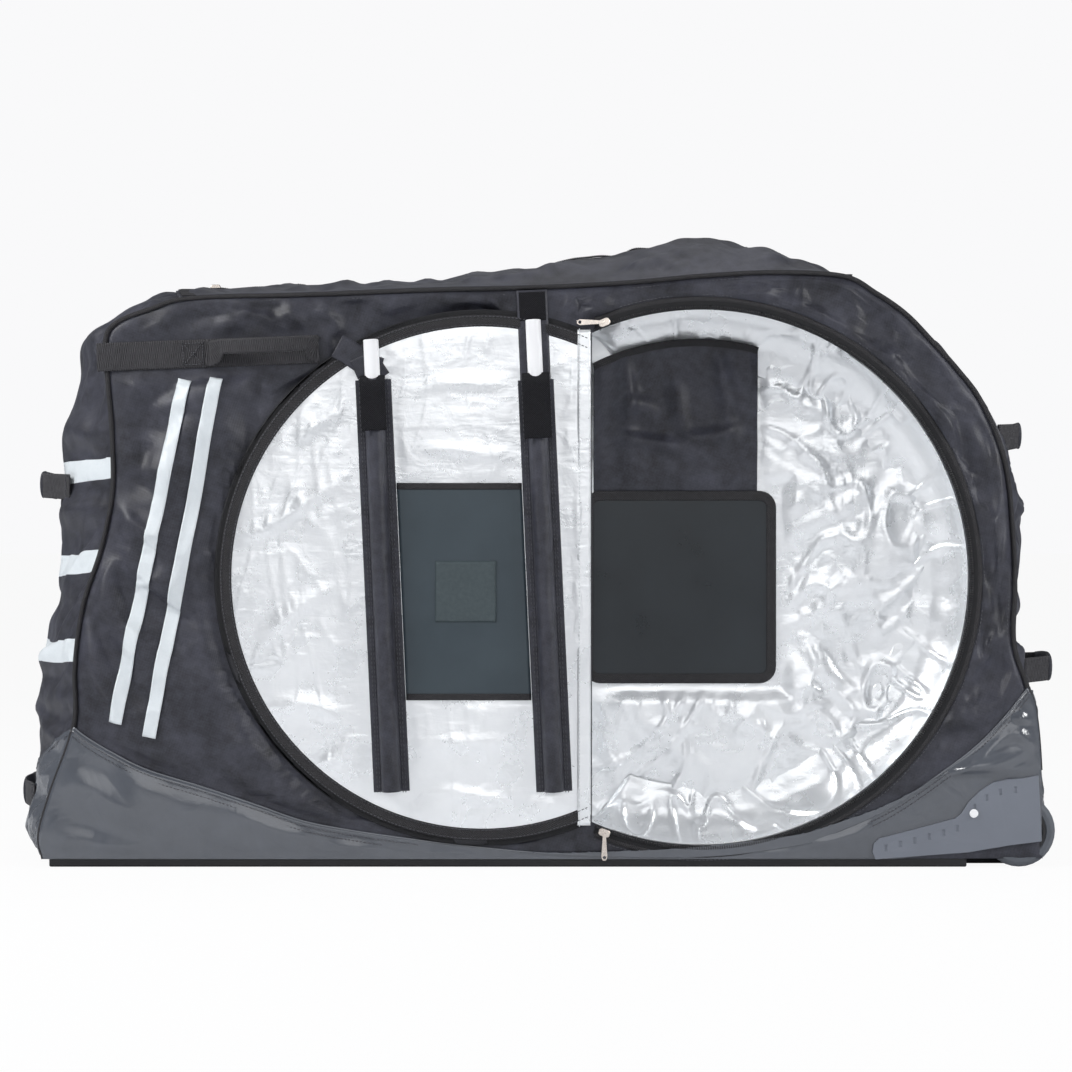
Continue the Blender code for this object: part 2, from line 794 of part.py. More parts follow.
def spoke_window(index, outer, surface):
    """The gap between two neighbouring spokes."""
    small = HUB_BOSS + HUB_WALL / 2
    large = outer - HUB_WALL * 1.5
    turn = 2 * math.pi / SPOKES
    outline = []
    for radius, order in ((small, 1), (large, -1)):
        reach = turn / 2 - SPOKE_WIDTH / 2 / radius
        for step in (-1, 0, 1):
            angle = turn * (index + 0.5) + order * step * reach
            outline.append((ROLLER_X + radius * math.cos(angle), ROLLER_Z + radius * math.sin(angle)))
    return slab("near_spoke_window_%d" % index, outline, ROLLER_Y - HUB_WEB, ROLLER_Y + HUB_WEB, surface)


def roller_axle(surface):
    front = HOUSING_FACE + FORK_CHEEK + GAP
    back = HOUSING_INNER - FORK_CHEEK - GAP
    return rod("near_roller_axle", (ROLLER_X, front, ROLLER_Z), (ROLLER_X, back, ROLLER_Z),
               AXLE_RADIUS, surface)


def zip_track(surface):
    """The half of the zip that is sewn to the panel, round the outside of the opening."""
    start_inner = chord_angle(TRACK_INNER, HINGE_TO_CENTRE - TRACK_HINGE_GAP)
    start_outer = chord_angle(TRACK_OUTER, HINGE_TO_CENTRE - TRACK_HINGE_GAP)
    outline = arc(CIRCLE_X, TRACK_INNER, -start_inner, start_inner, OPENING_STEPS)
    outline += arc(CIRCLE_X, TRACK_OUTER, start_outer, -start_outer, OPENING_STEPS)
    return slab("near_zip_track", outline, PANEL_FACE - GAP - TRACK_THICK, PANEL_FACE - GAP, surface)


def flap_arc(radius, steps):
    """The round edge of the open flap, which lies left of the hinge."""
    reach = chord_angle(radius, HINGE_TO_CENTRE - FLAP_HINGE_GAP)
    return arc(FLAP_CIRCLE_X, radius, math.pi - reach, math.pi + reach, steps)


def flap_panel(surface):
    outline = flap_arc(FLAP_RADIUS - ZIP_RING - GAP, OPENING_STEPS)
    return slab("near_flap_panel", outline, FLAP_FACE, FLAP_BACK, surface)


def flap_zip(surface):
    """The bound edge of the flap with its half of the zip."""
    outline = flap_arc(FLAP_RADIUS, OPENING_STEPS)
    outline += list(reversed(flap_arc(FLAP_RADIUS - ZIP_RING, OPENING_STEPS)))
    return slab("near_flap_zip", outline, FLAP_FACE, FLAP_BACK, surface)


def flap_plate(surface):
    """The stiff plate between the two sleeves, its sides slanted with them."""
    low = PLATE_Z - PLATE_HEIGHT / 2
    high = PLATE_Z + PLATE_HEIGHT / 2
    side = SLEEVE_FLANGE / 2 + GAP
    outline = [lean(SLEEVE_LEFT_X, side, low), lean(SLEEVE_RIGHT_X, -side, low),
               lean(SLEEVE_RIGHT_X, -side, high), lean(SLEEVE_LEFT_X, side, high)]
    return slab("near_flap_plate", outline, LINING_FACE - PLATE_THICK, LINING_FACE, surface)


def flap_pad(surface):
    back = LINING_FACE - PLATE_THICK - GAP
    return block("near_flap_pad", (PAD_X - PAD_SIDE / 2, PAD_X + PAD_SIDE / 2), (back - PAD_THICK, back),
                 (PAD_Z - PAD_SIDE / 2, PAD_Z + PAD_SIDE / 2), surface)


def lean(centre_x, x, z):
    """Turn a point of an upright sleeve to the sleeve's slant, about the sleeve's middle."""
    middle = (SLEEVE_TOP + SLEEVE_FOOT) / 2
    dx = x
    dz = z - middle
    turned_x = centre_x + dx * math.cos(SLEEVE_LEAN) - dz * math.sin(SLEEVE_LEAN)
    turned_z = middle + dx * math.sin(SLEEVE_LEAN) + dz * math.cos(SLEEVE_LEAN)
    return turned_x, turned_z


def rod_y():
    return LINING_FACE - SLEEVE_DEPTH / 2


def sleeve_section():
    """Half profile of a sleeve: flange, side wall and front wall, as (x, y)."""
    flange_front = LINING_FACE - SLEEVE_FLANGE_THICK
    front = LINING_FACE - SLEEVE_DEPTH
    half = SLEEVE_WIDTH / 2
    corner = SLEEVE_WIDTH / 5
    return [(-SLEEVE_FLANGE / 2, LINING_FACE), (SLEEVE_FLANGE / 2, LINING_FACE),
            (SLEEVE_FLANGE / 2, flange_front), (half, flange_front), (half, front + corner),
            (half - corner, front), (-half + corner, front), (-half, front + corner),
            (-half, flange_front), (-SLEEVE_FLANGE / 2, flange_front)]


def sleeve(name, centre_x, surface):
    """A flat sewn tube, open at the top, with a hem each side."""
    section = sleeve_section()
    count = len(section)
    points = []
    for z in (SLEEVE_FOOT, SLEEVE_TOP):
        for x, y in section:
            new_x, new_z = lean(centre_x, x, z)
            points.append((new_x, y, new_z))
    faces = [tuple(range(count)), tuple(range(count, 2 * count))]
    for i in range(count):
        j = (i + 1) % count
        faces.append((i, j, count + j, count + i))
    made = solid(name, points, faces, surface)
    subtract(made, sleeve_bore(name + "_bore_cutter", centre_x, surface))
    return made


def sleeve_bore(name, centre_x, surface):
    x_foot, z_foot = lean(centre_x, 0, SLEEVE_FOOT + SLEEVE_SOLE)
    x_top, z_top = lean(centre_x, 0, SLEEVE_TOP + OVERRUN)
    return rod(name, (x_foot, rod_y(), z_foot), (x_top, rod_y(), z_top), SLEEVE_BORE / 2, surface)


def flap_rod(name, centre_x, rise, surface):
    x_foot, z_foot = lean(centre_x, 0, SLEEVE_FOOT + SLEEVE_SOLE + GAP)
    x_top, z_top = lean(centre_x, 0, SLEEVE_TOP + rise)
    return rod(name, (x_foot, rod_y(), z_foot), (x_top, rod_y(), z_top), ROD_RADIUS, surface)


def tab_right(surface):
    """The strap behind the right rod, sewn above its sleeve."""
    corners = [(-TAB_WIDTH / 2, SLEEVE_TOP + GAP), (TAB_WIDTH / 2, SLEEVE_TOP + GAP),
               (TAB_WIDTH / 2, SLEEVE_TOP + TAB_RISE), (-TAB_WIDTH / 2, SLEEVE_TOP + TAB_RISE)]
    outline = [lean(SLEEVE_RIGHT_X, x, z) for x, z in corners]
    return slab("near_tab_right", outline, LINING_FACE - TAB_THICK, LINING_FACE, surface)


def tab_left(surface):
    """The left strap, folded over to the upper left."""
    half = TAB_WIDTH / 2
    foot = SLEEVE_TOP + GAP
    corners = [(-half, foot), (half / 2, foot), (-half / 4, foot + TAB_LEFT_REACH),
               (-half - TAB_LEFT_REACH / 2, foot + TAB_LEFT_REACH / 2)]
    outline = [lean(SLEEVE_LEFT_X, x, z) for x, z in corners]
    return slab("near_tab_left", outline, LINING_FACE - TAB_THICK, LINING_FACE, surface)


def slanted(x, z):
    """A point of the side strip, given along and across it from the middle of its left end."""
    return (STRIP_LEFT_X + x * math.cos(STRIP_SLOPE) - z * math.sin(STRIP_SLOPE),
            STRIP_LEFT_Z + x * math.sin(STRIP_SLOPE) + z * math.cos(STRIP_SLOPE))


def strip_length():
    return (STRIP_RIGHT_X - STRIP_LEFT_X) / math.cos(STRIP_SLOPE)


def side_strip(surface):
    half = STRIP_WIDTH / 2
    corners = [(0, -half), (strip_length(), -half), (strip_length(), half), (0, half)]
    outline = [slanted(x, z) for x, z in corners]
    return slab("near_side_strip", outline, SKIRT_BACK - WEBBING, SKIRT_BACK, surface)


def arched_line(seat, rise, steps):
    """Rise of a grip along its length: flat sewn ends and a smooth arch between them."""
    line = []
    for i in range(steps + 1):
        share = i / steps
        line.append((share, seat + rise * math.sin(math.pi * share) ** 0.6))
    return line


def side_grip(surface):
    """The near carrying grip, a strap that arches off the side strip."""
    seat = SKIRT_BACK - WEBBING - GAP
    start = strip_length() - SIDE_GRIP_LENGTH
    arch = arched_line(0, SIDE_GRIP_RISE, 10)
    span = SIDE_GRIP_LENGTH - 2 * SIDE_GRIP_END
    path = [(start, 0)]
    path += [(start + SIDE_GRIP_END + share * span, lift) for share, lift in arch]
    path += [(start + SIDE_GRIP_LENGTH, 0)]
    points = []
    for half in (-GRIP_WIDTH / 2, GRIP_WIDTH / 2):
        for extra in (0, GRIP_THICK):
            for x, lift in path:
                new_x, new_z = slanted(x, half)
                points.append((new_x, seat - lift - extra, new_z))
    return strap("near_side_grip", points, len(path), surface)


def strap(name, points, count, surface):
    """A bent strip from four lines of points: lower inner, lower outer, upper inner, upper outer."""
    faces = []
    lines = [0, count, 3 * count, 2 * count]
    for k, first in enumerate(lines):
        second = lines[(k + 1) % 4]
        for i in range(count - 1):
            faces.append((first + i, first + i + 1, second + i + 1, second + i))
    faces.append(tuple(lines))
    faces.append(tuple(first + count - 1 for first in reversed(lines)))
    made = solid(name, points, faces, surface)
    smooth(made)
    return made


def end_surface(side, y, z):
    """How far the outside of an end shell stands from the middle of the bag, at depth y and height z."""
    if side < 0:
        rows = range(0, TOP_FIRST_ROW)
    else:
        rows = range(TOP_LAST_ROW, len(OUTLINE_SHARES) - 1)
    column = GUSSET_COLUMNS * (y - SHELL_EDGE) / (-2 * SHELL_EDGE)
    below = math.floor(column)
    part = column - below
    reach = 0
    for depth_share, weight in ((below, 1 - part), (below + 1, part)):
        depth = SHELL_EDGE - 2 * SHELL_EDGE * depth_share / GUSSET_COLUMNS
        for row in rows:
            x0, z0 = shell_point(row, depth)
            x1, z1 = shell_point(row + 1, depth)
            if min(z0, z1) <= z <= max(z0, z1):
                reach += weight * abs(x0 + (x1 - x0) * (z - z0) / (z1 - z0))
                break
    return reach


def end_grip(name, side, height_share, surface):
    """A carrying grip across one end of the bag."""
    height = TRAY_THICK + height_share * PANEL_HEIGHT
    half = END_GRIP_WIDTH / 2
    span = 2 * (END_GRIP_HALF - END_GRIP_SEWN)
    arch = arched_line(0, END_GRIP_RISE, 10)
    path = [(-END_GRIP_HALF, 0)]
    path += [(-span / 2 + share * span, lift) for share, lift in arch]
    path += [(END_GRIP_HALF, 0)]
    seats = []
    for y, lift in path:
        seat = max(end_surface(side, y, height + k * half) for k in (-1, -0.5, 0, 0.5, 1))
        seats.append(seat + END_GRIP_SEAT + lift)
    points = []
    for z in (height - half, height + half):
        for extra in (0, GRIP_THICK):
            for (y, lift), reach in zip(path, seats):
                points.append((side * (reach + extra), y, z))
    return strap(name, points, len(path), surface)


def slider_place(angle):
    """The middle of a slider on the track at an angle from +X towards +Z, as (x, z)."""
    radius = (TRACK_INNER + TRACK_OUTER) / 2
    return CIRCLE_X + radius * math.cos(angle), OPENING_HEIGHT + radius * math.sin(angle)


def slider_rest_angle():
    radius = (TRACK_INNER + TRACK_OUTER) / 2
    return math.pi - math.acos((HINGE_TO_CENTRE - SLIDER_TURN) / radius)


def slider(name, angle, surface):
    """A slider body with a raised bridge, lying along the track."""
    x, z = slider_place(angle)
    back = PANEL_FACE - 2 * GAP - TRACK_THICK
    along = Vector((-math.sin(angle), math.cos(angle)))
    out = Vector((math.cos(angle), math.sin(angle)))
    half_length = SLIDER_LENGTH / 2
    half_width = SLIDER_WIDTH / 2
    outline = []
    for a, b in ((-1, -0.6), (-0.6, -1), (0.6, -1), (1, -0.6), (1, 0.6), (0.6, 1), (-0.6, 1), (-1, 0.6)):
        spot = Vector((x, z)) + along * a * half_length + out * b * half_width
        outline.append((spot[0], spot[1]))
    return slab(name, outline, back - SLIDER_THICK, back, surface)


def pull_outline(place, direction):
    """A long tag with an eye's width at its root, pointing along direction."""
    side = Vector((-direction[1], direction[0]))
    half = PULL_WIDTH / 2
    root = Vector(place)
    tip = root + Vector(direction) * PULL_LENGTH
    corners = [root + side * half / 2, tip - Vector(direction) * half + side * half, tip + side * half / 2,
               tip - side * half / 2, tip - Vector(direction) * half - side * half, root - side * half / 2]
    return [tuple(c) for c in corners]


def pull(name, angle, direction, surface):
    """The pull of a near slider, lying just in front of the slider's face."""
    x, z = slider_place(angle)
    back = PANEL_FACE - 3 * GAP - TRACK_THICK - SLIDER_THICK
    made = slab(name, pull_outline((x, z), direction), back - PULL_THICK, back, surface)
    tip = Vector((x, z)) + Vector(direction) * (PULL_LENGTH - PULL_WIDTH / 2)
    eye = rod(name + "_eye_cutter", (tip[0], back + OVERRUN, tip[1]), (tip[0], back - OVERRUN, tip[1]),
              PULL_EYE, surface, 12)
    subtract(made, eye)
    return made


def build_body():
    near_panel = side_panel(black_nylon())
    mirrored(near_panel, "far_side_panel")
    left = gusset("left_gusset", 0, TOP_FIRST_ROW, black_nylon())
    right = gusset("right_gusset", TOP_LAST_ROW, len(OUTLINE_SHARES) - 1, black_nylon())
    near_corner = corner_cutter("near_gusset_corner_cutter")
    far_corner = mirrored(near_corner, "far_gusset_corner_cutter")
    subtract(right, near_corner)
    subtract(right, far_corner)
    near_skirt = skirt(grey_tarpaulin())
    mirrored(near_skirt, "far_skirt")
    base_tray(black_plastic())
    floor_board(black_plastic())
    near_divider = divider(silver_lining())
    mirrored(near_divider, "far_divider")
    near_plate = hub_plate(dark_plate())
    mirrored(near_plate, "far_hub_plate")
    return left, right


def build_lid():
    near_flap = top_flap("near_top_flap", black_nylon())
    far_flap = mirrored(near_flap, "far_top_flap")
    chain = top_zip(black_webbing())
    runner = top_slider(bright_metal())
    start = seam(TOP_FIRST_ROW)
    near_axis = axis_empty("near_top_axis", (start[0], HINGE_Y, start[1]))
    far_axis = axis_empty("far_top_axis", (start[0], -HINGE_Y, start[1]))
    carry(near_axis, (near_flap, chain, runner))
    carry(far_axis, (far_flap,))


def build_rollers():
    near_housing = housing(grey_plastic())
    mirrored(near_housing, "far_housing")
    near_rivet = rivet(white_plastic())
    mirrored(near_rivet, "far_rivet")
    tyre = roller_tyre(roller_rubber())
    hub = roller_hub(black_plastic())
    axle = roller_axle(bright_metal())
    far_tyre = mirrored(tyre, "far_roller_tyre")
    far_hub = mirrored(hub, "far_roller_hub")
    mirrored(axle, "far_roller_axle")
    near_axis = axis_empty("near_roller_axis", (ROLLER_X, ROLLER_Y, ROLLER_Z))
    far_axis = axis_empty("far_roller_axis", (ROLLER_X, -ROLLER_Y, ROLLER_Z))
    carry(near_axis, (tyre, hub))
    carry(far_axis, (far_tyre, far_hub))


def build_webbing():
    strip = side_strip(black_webbing())
    mirrored(strip, "far_side_strip")
    grip = side_grip(black_webbing())
    mirrored(grip, "far_side_grip")
    end_grip("left_upper_grip", -1, LEFT_GRIP_SHARES[0], black_webbing())
    end_grip("left_lower_grip", -1, LEFT_GRIP_SHARES[1], black_webbing())
    end_grip("right_upper_grip", 1, RIGHT_GRIP_SHARES[0], black_webbing())
    end_grip("right_lower_grip", 1, RIGHT_GRIP_SHARES[1], black_webbing())


def build_flaps():
    """The near flap lies open, left of its hinge; the far flap is closed."""
    fixed = [flap_panel(silver_lining()), flap_zip(dark_binding()), flap_plate(dark_plate())]
    fixed.append(sleeve("near_sleeve_left", SLEEVE_LEFT_X, black_nylon()))
    fixed.append(sleeve("near_sleeve_right", SLEEVE_RIGHT_X, black_nylon()))
    rods = [flap_rod("near_rod_left", SLEEVE_LEFT_X, ROD_LEFT_RISE, white_plastic())]
    rods.append(flap_rod("near_rod_right", SLEEVE_RIGHT_X, ROD_RIGHT_RISE, white_plastic()))
    far_side = [mirrored(piece, piece.name.replace("near", "far"), True) for piece in fixed + rods]
    extras = [flap_pad(dark_plate()), tab_left(black_webbing()), tab_right(black_webbing())]
    near_axis = axis_empty("near_flap_axis", (HINGE_X, HINGE_Y, OPENING_HEIGHT))
    far_axis = axis_empty("far_flap_axis", (HINGE_X, -HINGE_Y, OPENING_HEIGHT))
    carry(near_axis, fixed + rods + extras)
    carry(far_axis, far_side)


def build_zips():
    track = zip_track(dark_binding())
    mirrored(track, "far_zip_track")
    angle = slider_rest_angle()
    top = slider("near_slider_top", angle, bright_metal())
    bottom = slider("near_slider_bottom", -angle, bright_metal())
    top_tag = pull("near_pull_top", angle, (-1, 0), bright_metal())
    bottom_tag = pull("near_pull_bottom", -angle, (0, -1), bright_metal())
    near_axis = axis_empty("near_zip_axis", (CIRCLE_X, PANEL_FACE, OPENING_HEIGHT))
    carry(near_axis, (top, bottom, top_tag, bottom_tag))
    closed = SLIDER_LENGTH * 0.6 / OPENING_RADIUS
    near_like = [slider("far_upper", closed, bright_metal()), slider("far_lower", -closed, bright_metal())]
    far_sliders = [mirrored(near_like[0], "far_slider_top"), mirrored(near_like[1], "far_slider_bottom")]
    for spare in near_like:
        bpy.data.objects.remove(spare, do_unlink=True)
    far_axis = axis_empty("far_zip_axis", (CIRCLE_X, -PANEL_FACE, OPENING_HEIGHT))
    carry(far_axis, far_sliders)


def main():
    clear_scene()
    build_body()
    build_lid()
    build_rollers()
    build_webbing()
    build_flaps()
    build_zips()


main()
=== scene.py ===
import math
import time
import bmesh
import bpy
import numpy as np
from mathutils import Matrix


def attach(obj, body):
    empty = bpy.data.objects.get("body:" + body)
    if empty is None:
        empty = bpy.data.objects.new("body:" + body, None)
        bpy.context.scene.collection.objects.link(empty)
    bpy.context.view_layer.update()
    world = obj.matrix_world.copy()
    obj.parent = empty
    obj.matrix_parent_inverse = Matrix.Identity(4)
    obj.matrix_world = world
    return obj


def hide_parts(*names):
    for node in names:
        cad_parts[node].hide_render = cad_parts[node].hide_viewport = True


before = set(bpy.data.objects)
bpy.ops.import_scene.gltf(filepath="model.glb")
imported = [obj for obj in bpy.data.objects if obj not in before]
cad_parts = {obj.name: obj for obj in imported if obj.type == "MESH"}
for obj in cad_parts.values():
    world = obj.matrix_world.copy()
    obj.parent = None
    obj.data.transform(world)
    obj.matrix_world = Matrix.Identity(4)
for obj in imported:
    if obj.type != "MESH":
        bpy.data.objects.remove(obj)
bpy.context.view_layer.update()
print("frame loaded:", len(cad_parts), "nodes")

# The bag's main sizes in metres: near side at -Y, left end at -X, floor at Z 0.
bag = {
    "length": 1.323,
    "height": 0.772,
    "foot": 0.016,
    "halfWidth": 0.1737,
    "panelFace": 0.1800,
    "bulgePower": 2.4,
    "lidRise": 0.0050,
    "wall": 0.004,
}
opening = {"x": 0.2072, "z": 0.3806, "radius": 0.3517, "hingeX": 0.0636, "flapReach": 0.3514, "flapX": -0.0800}
flapShift = 0.3606  # how far the far flap, closed, lies from the near one, open
# the side carrying strip: its ends' x, its height at the left and its rise per metre to the right
webbing = {"width": 0.0372, "slope": 0.0384, "left": -0.5856, "right": -0.2950, "z": 0.669}

# One row per point of the end outline, going up the left end, over the top and down the right end:
# seam x, seam z, crest x, crest z, as shares of the length and the height.
outlineShares = np.array([
    [-.496, -.006, -.52, -.006], [-.5, .035, -.529, .041], [-.488, .11, -.521, .119],
    [-.466, .221, -.52, .221], [-.465, .321, -.516, .316], [-.457, .423, -.503, .416],
    [-.439, .52, -.497, .51], [-.428, .613, -.497, .603], [-.428, .706, -.498, .701],
    [-.432, .799, -.483, .799], [-.435, .872, -.465, .882], [-.425, .904, -.447, .921],
    [-.391, .928, -.408, .955], [-.349, .947, -.364, .975], [-.234, .953, -.243, .9815],
    [-.116, .961, -.12, .988], [0, .966, 0, 1.022], [.085, .974, .089, 1.042], [.157, .985, .162, 1.061],
    [.227, .991, .235, 1.044], [.297, .985, .307, .993], [.330, .956, .334, .960],
    [.360, .920, .364, .923], [.387, .872, .391, .875], [.411, .826, .416, .828], [.433, .776, .446, .778],
    [.452, .705, .476, .706], [.461, .64, .49, .63], [.466, .543, .495, .543], [.468, .454, .491, .454],
    [.467, .361, .491, .371], [.479, .292, .499, .294], [.488, .241, .5, .241], [.493, .139, .498, .139],
    [.494, -.006, .495, -.006],
])
lidRows = (13, 20)

# The skirt's upper edge, x and z as the same shares.
skirtShares = np.array([
    [-.470, .218], [-.456, .200], [-.430, .174], [-.395, .145], [-.342, .117], [-.289, .087], [-.240, .058],
    [-.193, .042], [-.142, .029], [-.072, .014], [.017, .001], [.155, -.003], [.254, .017], [.289, .038],
    [.341, .079], [.392, .139], [.426, .186], [.452, .236], [.469, .276],
])


# Numbers and curves

def smoothstep(value, low, high):
    # 0 below low, 1 above high, 3s^2 - 2s^3 between
    share = np.clip((np.asarray(value, float) - low) / (high - low), 0, 1)
    return share * share * (3 - 2 * share)


def throughRows(rows, t):
    # Catmull-Rom through the rows: half of 2b + (c - a)s + (2a - 5b + 4c - d)s^2 + (3b - a - 3c + d)s^3
    rows = np.asarray(rows, float)
    ends = np.vstack([2 * rows[0] - rows[1], rows, 2 * rows[-1] - rows[-2]])
    first = np.clip(np.floor(t).astype(int), 0, len(rows) - 2)
    s = (t - first)[..., None]
    a, b, c, d = (ends[first + i] for i in range(4))
    return 0.5 * (2 * b + (c - a) * s + (2 * a - 5 * b + 4 * c - d) * s ** 2 + (3 * b - a - 3 * c + d) * s ** 3)


def asPlace(shares):
    # x = share * length, z = foot + share * height
    return np.stack([shares[..., 0] * bag["length"], bag["foot"] + shares[..., 1] * bag["height"]], -1)


def seamLine(t):
    return asPlace(throughRows(outlineShares[:, :2], t))


def crestLine(t):
    return asPlace(throughRows(outlineShares[:, 2:], t))


def evenly(path, pitch=None, count=None):
    # the path again, at equal steps along its length
    along = np.concatenate([[0], np.cumsum(np.linalg.norm(np.diff(path, axis=0), axis=1))])
    count = count or max(2, int(round(along[-1] / pitch)) + 1)
    wanted = np.linspace(0, along[-1], count)
    return np.stack([np.interp(wanted, along, path[:, i]) for i in range(path.shape[1])], -1)


def softNoise(a, b, size, seed):
    # nine plane waves with random headings and lengths near size, added: about -1 to 1
    rng = np.random.default_rng(seed)
    heading, phase = rng.uniform(0, 2 * math.pi, 9), rng.uniform(0, 2 * math.pi, 9)
    pull = 2 * math.pi / (size * rng.uniform(0.6, 1.7, 9))
    waves = [np.sin(k * (a * math.cos(h) + b * math.sin(h)) + p) for k, h, p in zip(pull, heading, phase)]
    return sum(waves) / 3.2


def crumple(a, b, size, seed, sharp=0.16):
    # ridges of crushed foil: exp(-|noise| / sharp) peaks along the lines where bent noise crosses zero
    bentA = a + 0.35 * size * softNoise(a, b, size * 1.6, seed + 1)
    bentB = b + 0.35 * size * softNoise(a, b, size * 1.6, seed + 2)
    return np.exp(-np.abs(softNoise(bentA, bentB, size, seed)) / sharp)


def ridges(x, z, folds):
    # each fold is a ridge along a straight run: height * exp(-(distance / width)^2), fading at both ends
    total = np.zeros_like(x)
    for x0, z0, x1, z1, width, height in folds:
        run = np.array([x1 - x0, z1 - z0])
        reach = np.linalg.norm(run)
        along = ((x - x0) * run[0] + (z - z0) * run[1]) / reach
        across = ((x - x0) * run[1] - (z - z0) * run[0]) / reach
        across = across + 0.25 * width * np.sin(along / reach * 7 + x0 * 40)
        ends = smoothstep(along, -0.5 * width, 0.35 * reach)
        ends = ends * smoothstep(-along, -reach - 0.5 * width, -0.55 * reach)
        total += height * ends * np.exp(-(across / width) ** 2)
    return total


# Meshes

def makePiece(name, grid, materials, aroundU=False, aroundV=False, thick=0.0, away=None, caps=False,
              innerMaterial=0, faceMaterial=None, cutFlat=False):
    # Quads between neighbours of a grid of points. away is a point that the outer side faces away from.
    # The UV map holds the cloth's own length and width in metres, or x and z for cloth that was cut flat.
    grid = np.asarray(grid, float)
    n, m = grid.shape[:2]
    rows, cols = n - (not aroundV), m - (not aroundU)
    i, j = (a.ravel() for a in np.meshgrid(np.arange(rows), np.arange(cols), indexing="ij"))
    cornerI = np.stack([i, i, i + 1, i + 1], -1)
    cornerJ = np.stack([j, j + 1, j + 1, j], -1)
    faces = (cornerI % n) * m + (cornerJ % m)
    stepV = np.linalg.norm(np.diff(grid, axis=0, append=grid[:1]), axis=2).mean(1)
    stepU = np.linalg.norm(np.diff(grid, axis=1, append=grid[:, :1]), axis=2).mean(0)
    alongV = np.concatenate([[0], np.cumsum(stepV)])
    alongU = np.concatenate([[0], np.cumsum(stepU)])
    uv = np.stack([alongU[cornerJ], alongV[cornerI]], -1)
    points = grid.reshape(-1, 3)
    if cutFlat:
        uv = points[faces][..., [0, 2]]
    if away is not None:
        quad = points[faces]
        normal = np.cross(quad[:, 2] - quad[:, 0], quad[:, 3] - quad[:, 1])
        if (normal * (quad.mean(1) - np.asarray(away, float))).sum() < 0:
            faces, uv = faces[:, ::-1], uv[:, ::-1]
    mesh = bpy.data.meshes.new(name)
    polygons = faces.tolist()
    if caps:
        polygons += [list(range(m)), list(range((n - 1) * m, n * m))]
    mesh.from_pydata(points.tolist(), [], polygons)
    layer = mesh.uv_layers.new(name="cloth")
    flat = np.zeros((len(mesh.loops), 2))
    flat[:uv.size // 2] = uv.reshape(-1, 2)
    layer.data.foreach_set("uv", flat.ravel())
    if faceMaterial is not None:
        chosen = np.zeros(len(mesh.polygons), int)
        chosen[:rows * cols] = np.asarray(faceMaterial)[:rows, :cols].ravel()
        mesh.polygons.foreach_set("material_index", chosen)
    piece = bpy.data.objects.new(name, mesh)
    bpy.context.scene.collection.objects.link(piece)
    for material in materials if isinstance(materials, (list, tuple)) else [materials]:
        mesh.materials.append(material)
    if caps or away is None:
        cleanNormals(mesh)
    mesh.polygons.foreach_set("use_smooth", np.ones(len(mesh.polygons), bool))
    if thick:
        wall = piece.modifiers.new("wall", "SOLIDIFY")
        wall.thickness, wall.offset, wall.use_even_offset = thick, -1, False
        wall.material_offset = innerMaterial
    return piece


def cleanNormals(mesh, merge=1e-6):
    work = bmesh.new()
    work.from_mesh(mesh)
    bmesh.ops.remove_doubles(work, verts=work.verts, dist=merge)
    bmesh.ops.recalc_face_normals(work, faces=work.faces)
    work.to_mesh(mesh)
    work.free()


def frames(path, up, closed=False):
    # unit tangent, side and raised direction at each point; up says which way the raised side looks
    path = np.asarray(path, float)
    if closed:
        tangent = np.roll(path, -1, 0) - np.roll(path, 1, 0)
    else:
        tangent = np.gradient(path, axis=0)
    tangent /= np.linalg.norm(tangent, axis=1, keepdims=True)
    up = np.broadcast_to(np.asarray(up, float), path.shape)
    side = np.cross(tangent, up)
    side /= np.linalg.norm(side, axis=1, keepdims=True)
    return tangent, side, np.cross(side, tangent)


def carryAlong(path, profile, up, closed=False):
    # the profile (side, raised) carried along the path: point + side * a + raised * b
    _, side, raised = frames(path, up, closed)
    profile = np.asarray(profile, float)
    a = profile[None, :, 0, None] * side[:, None]
    b = profile[None, :, 1, None] * raised[:, None]
    return np.asarray(path)[:, None] + a + b


def makeBar(name, path, profile, up, material):
    # a strip, tape or cord with closed ends: the profile carried along the path
    return makePiece(name, carryAlong(path, profile, up), material, aroundU=True, caps=True)


def roundBar(radiusA, radiusB=None, count=10):
    turn = np.linspace(0, 2 * math.pi, count, endpoint=False)
    return np.stack([radiusA * np.cos(turn), (radiusB or radiusA) * np.sin(turn)], -1)


def flatBand(width, thick, count=9):
    # a closed profile: two faces of points across the width, edges rounded by thinner outer points
    edgeShare = 0.45
    across = np.linspace(-width / 2, width / 2, count)
    lift = np.full(count, thick / 2)
    lift[[0, -1]] *= edgeShare
    return np.vstack([np.stack([across, lift], -1), np.stack([across[::-1], -lift], -1)])


def repeated(name, shape, shapeFaces, centres, along, raised, material):
    # copies of one small shape: centre + along * x + side * y + raised * z
    side = np.cross(raised, along)
    shape = np.repeat(np.asarray(shape, float)[None], len(centres), 0)
    points = (np.asarray(centres)[:, None] + shape[..., 0:1] * along[:, None]
              + shape[..., 1:2] * side[:, None] + shape[..., 2:3] * raised[:, None])
    count = shape.shape[1]
    faces = np.concatenate([np.asarray(shapeFaces) + k * count for k in range(len(centres))])
    mesh = bpy.data.meshes.new(name)
    mesh.from_pydata(points.reshape(-1, 3).tolist(), [], faces.tolist())
    mesh.polygons.foreach_set("use_smooth", np.ones(len(mesh.polygons), bool))
    mesh.materials.append(material)
    mesh.uv_layers.new(name="cloth")
    cleanNormals(mesh, 1e-7)
    piece = bpy.data.objects.new(name, mesh)
    bpy.context.scene.collection.objects.link(piece)
    return piece


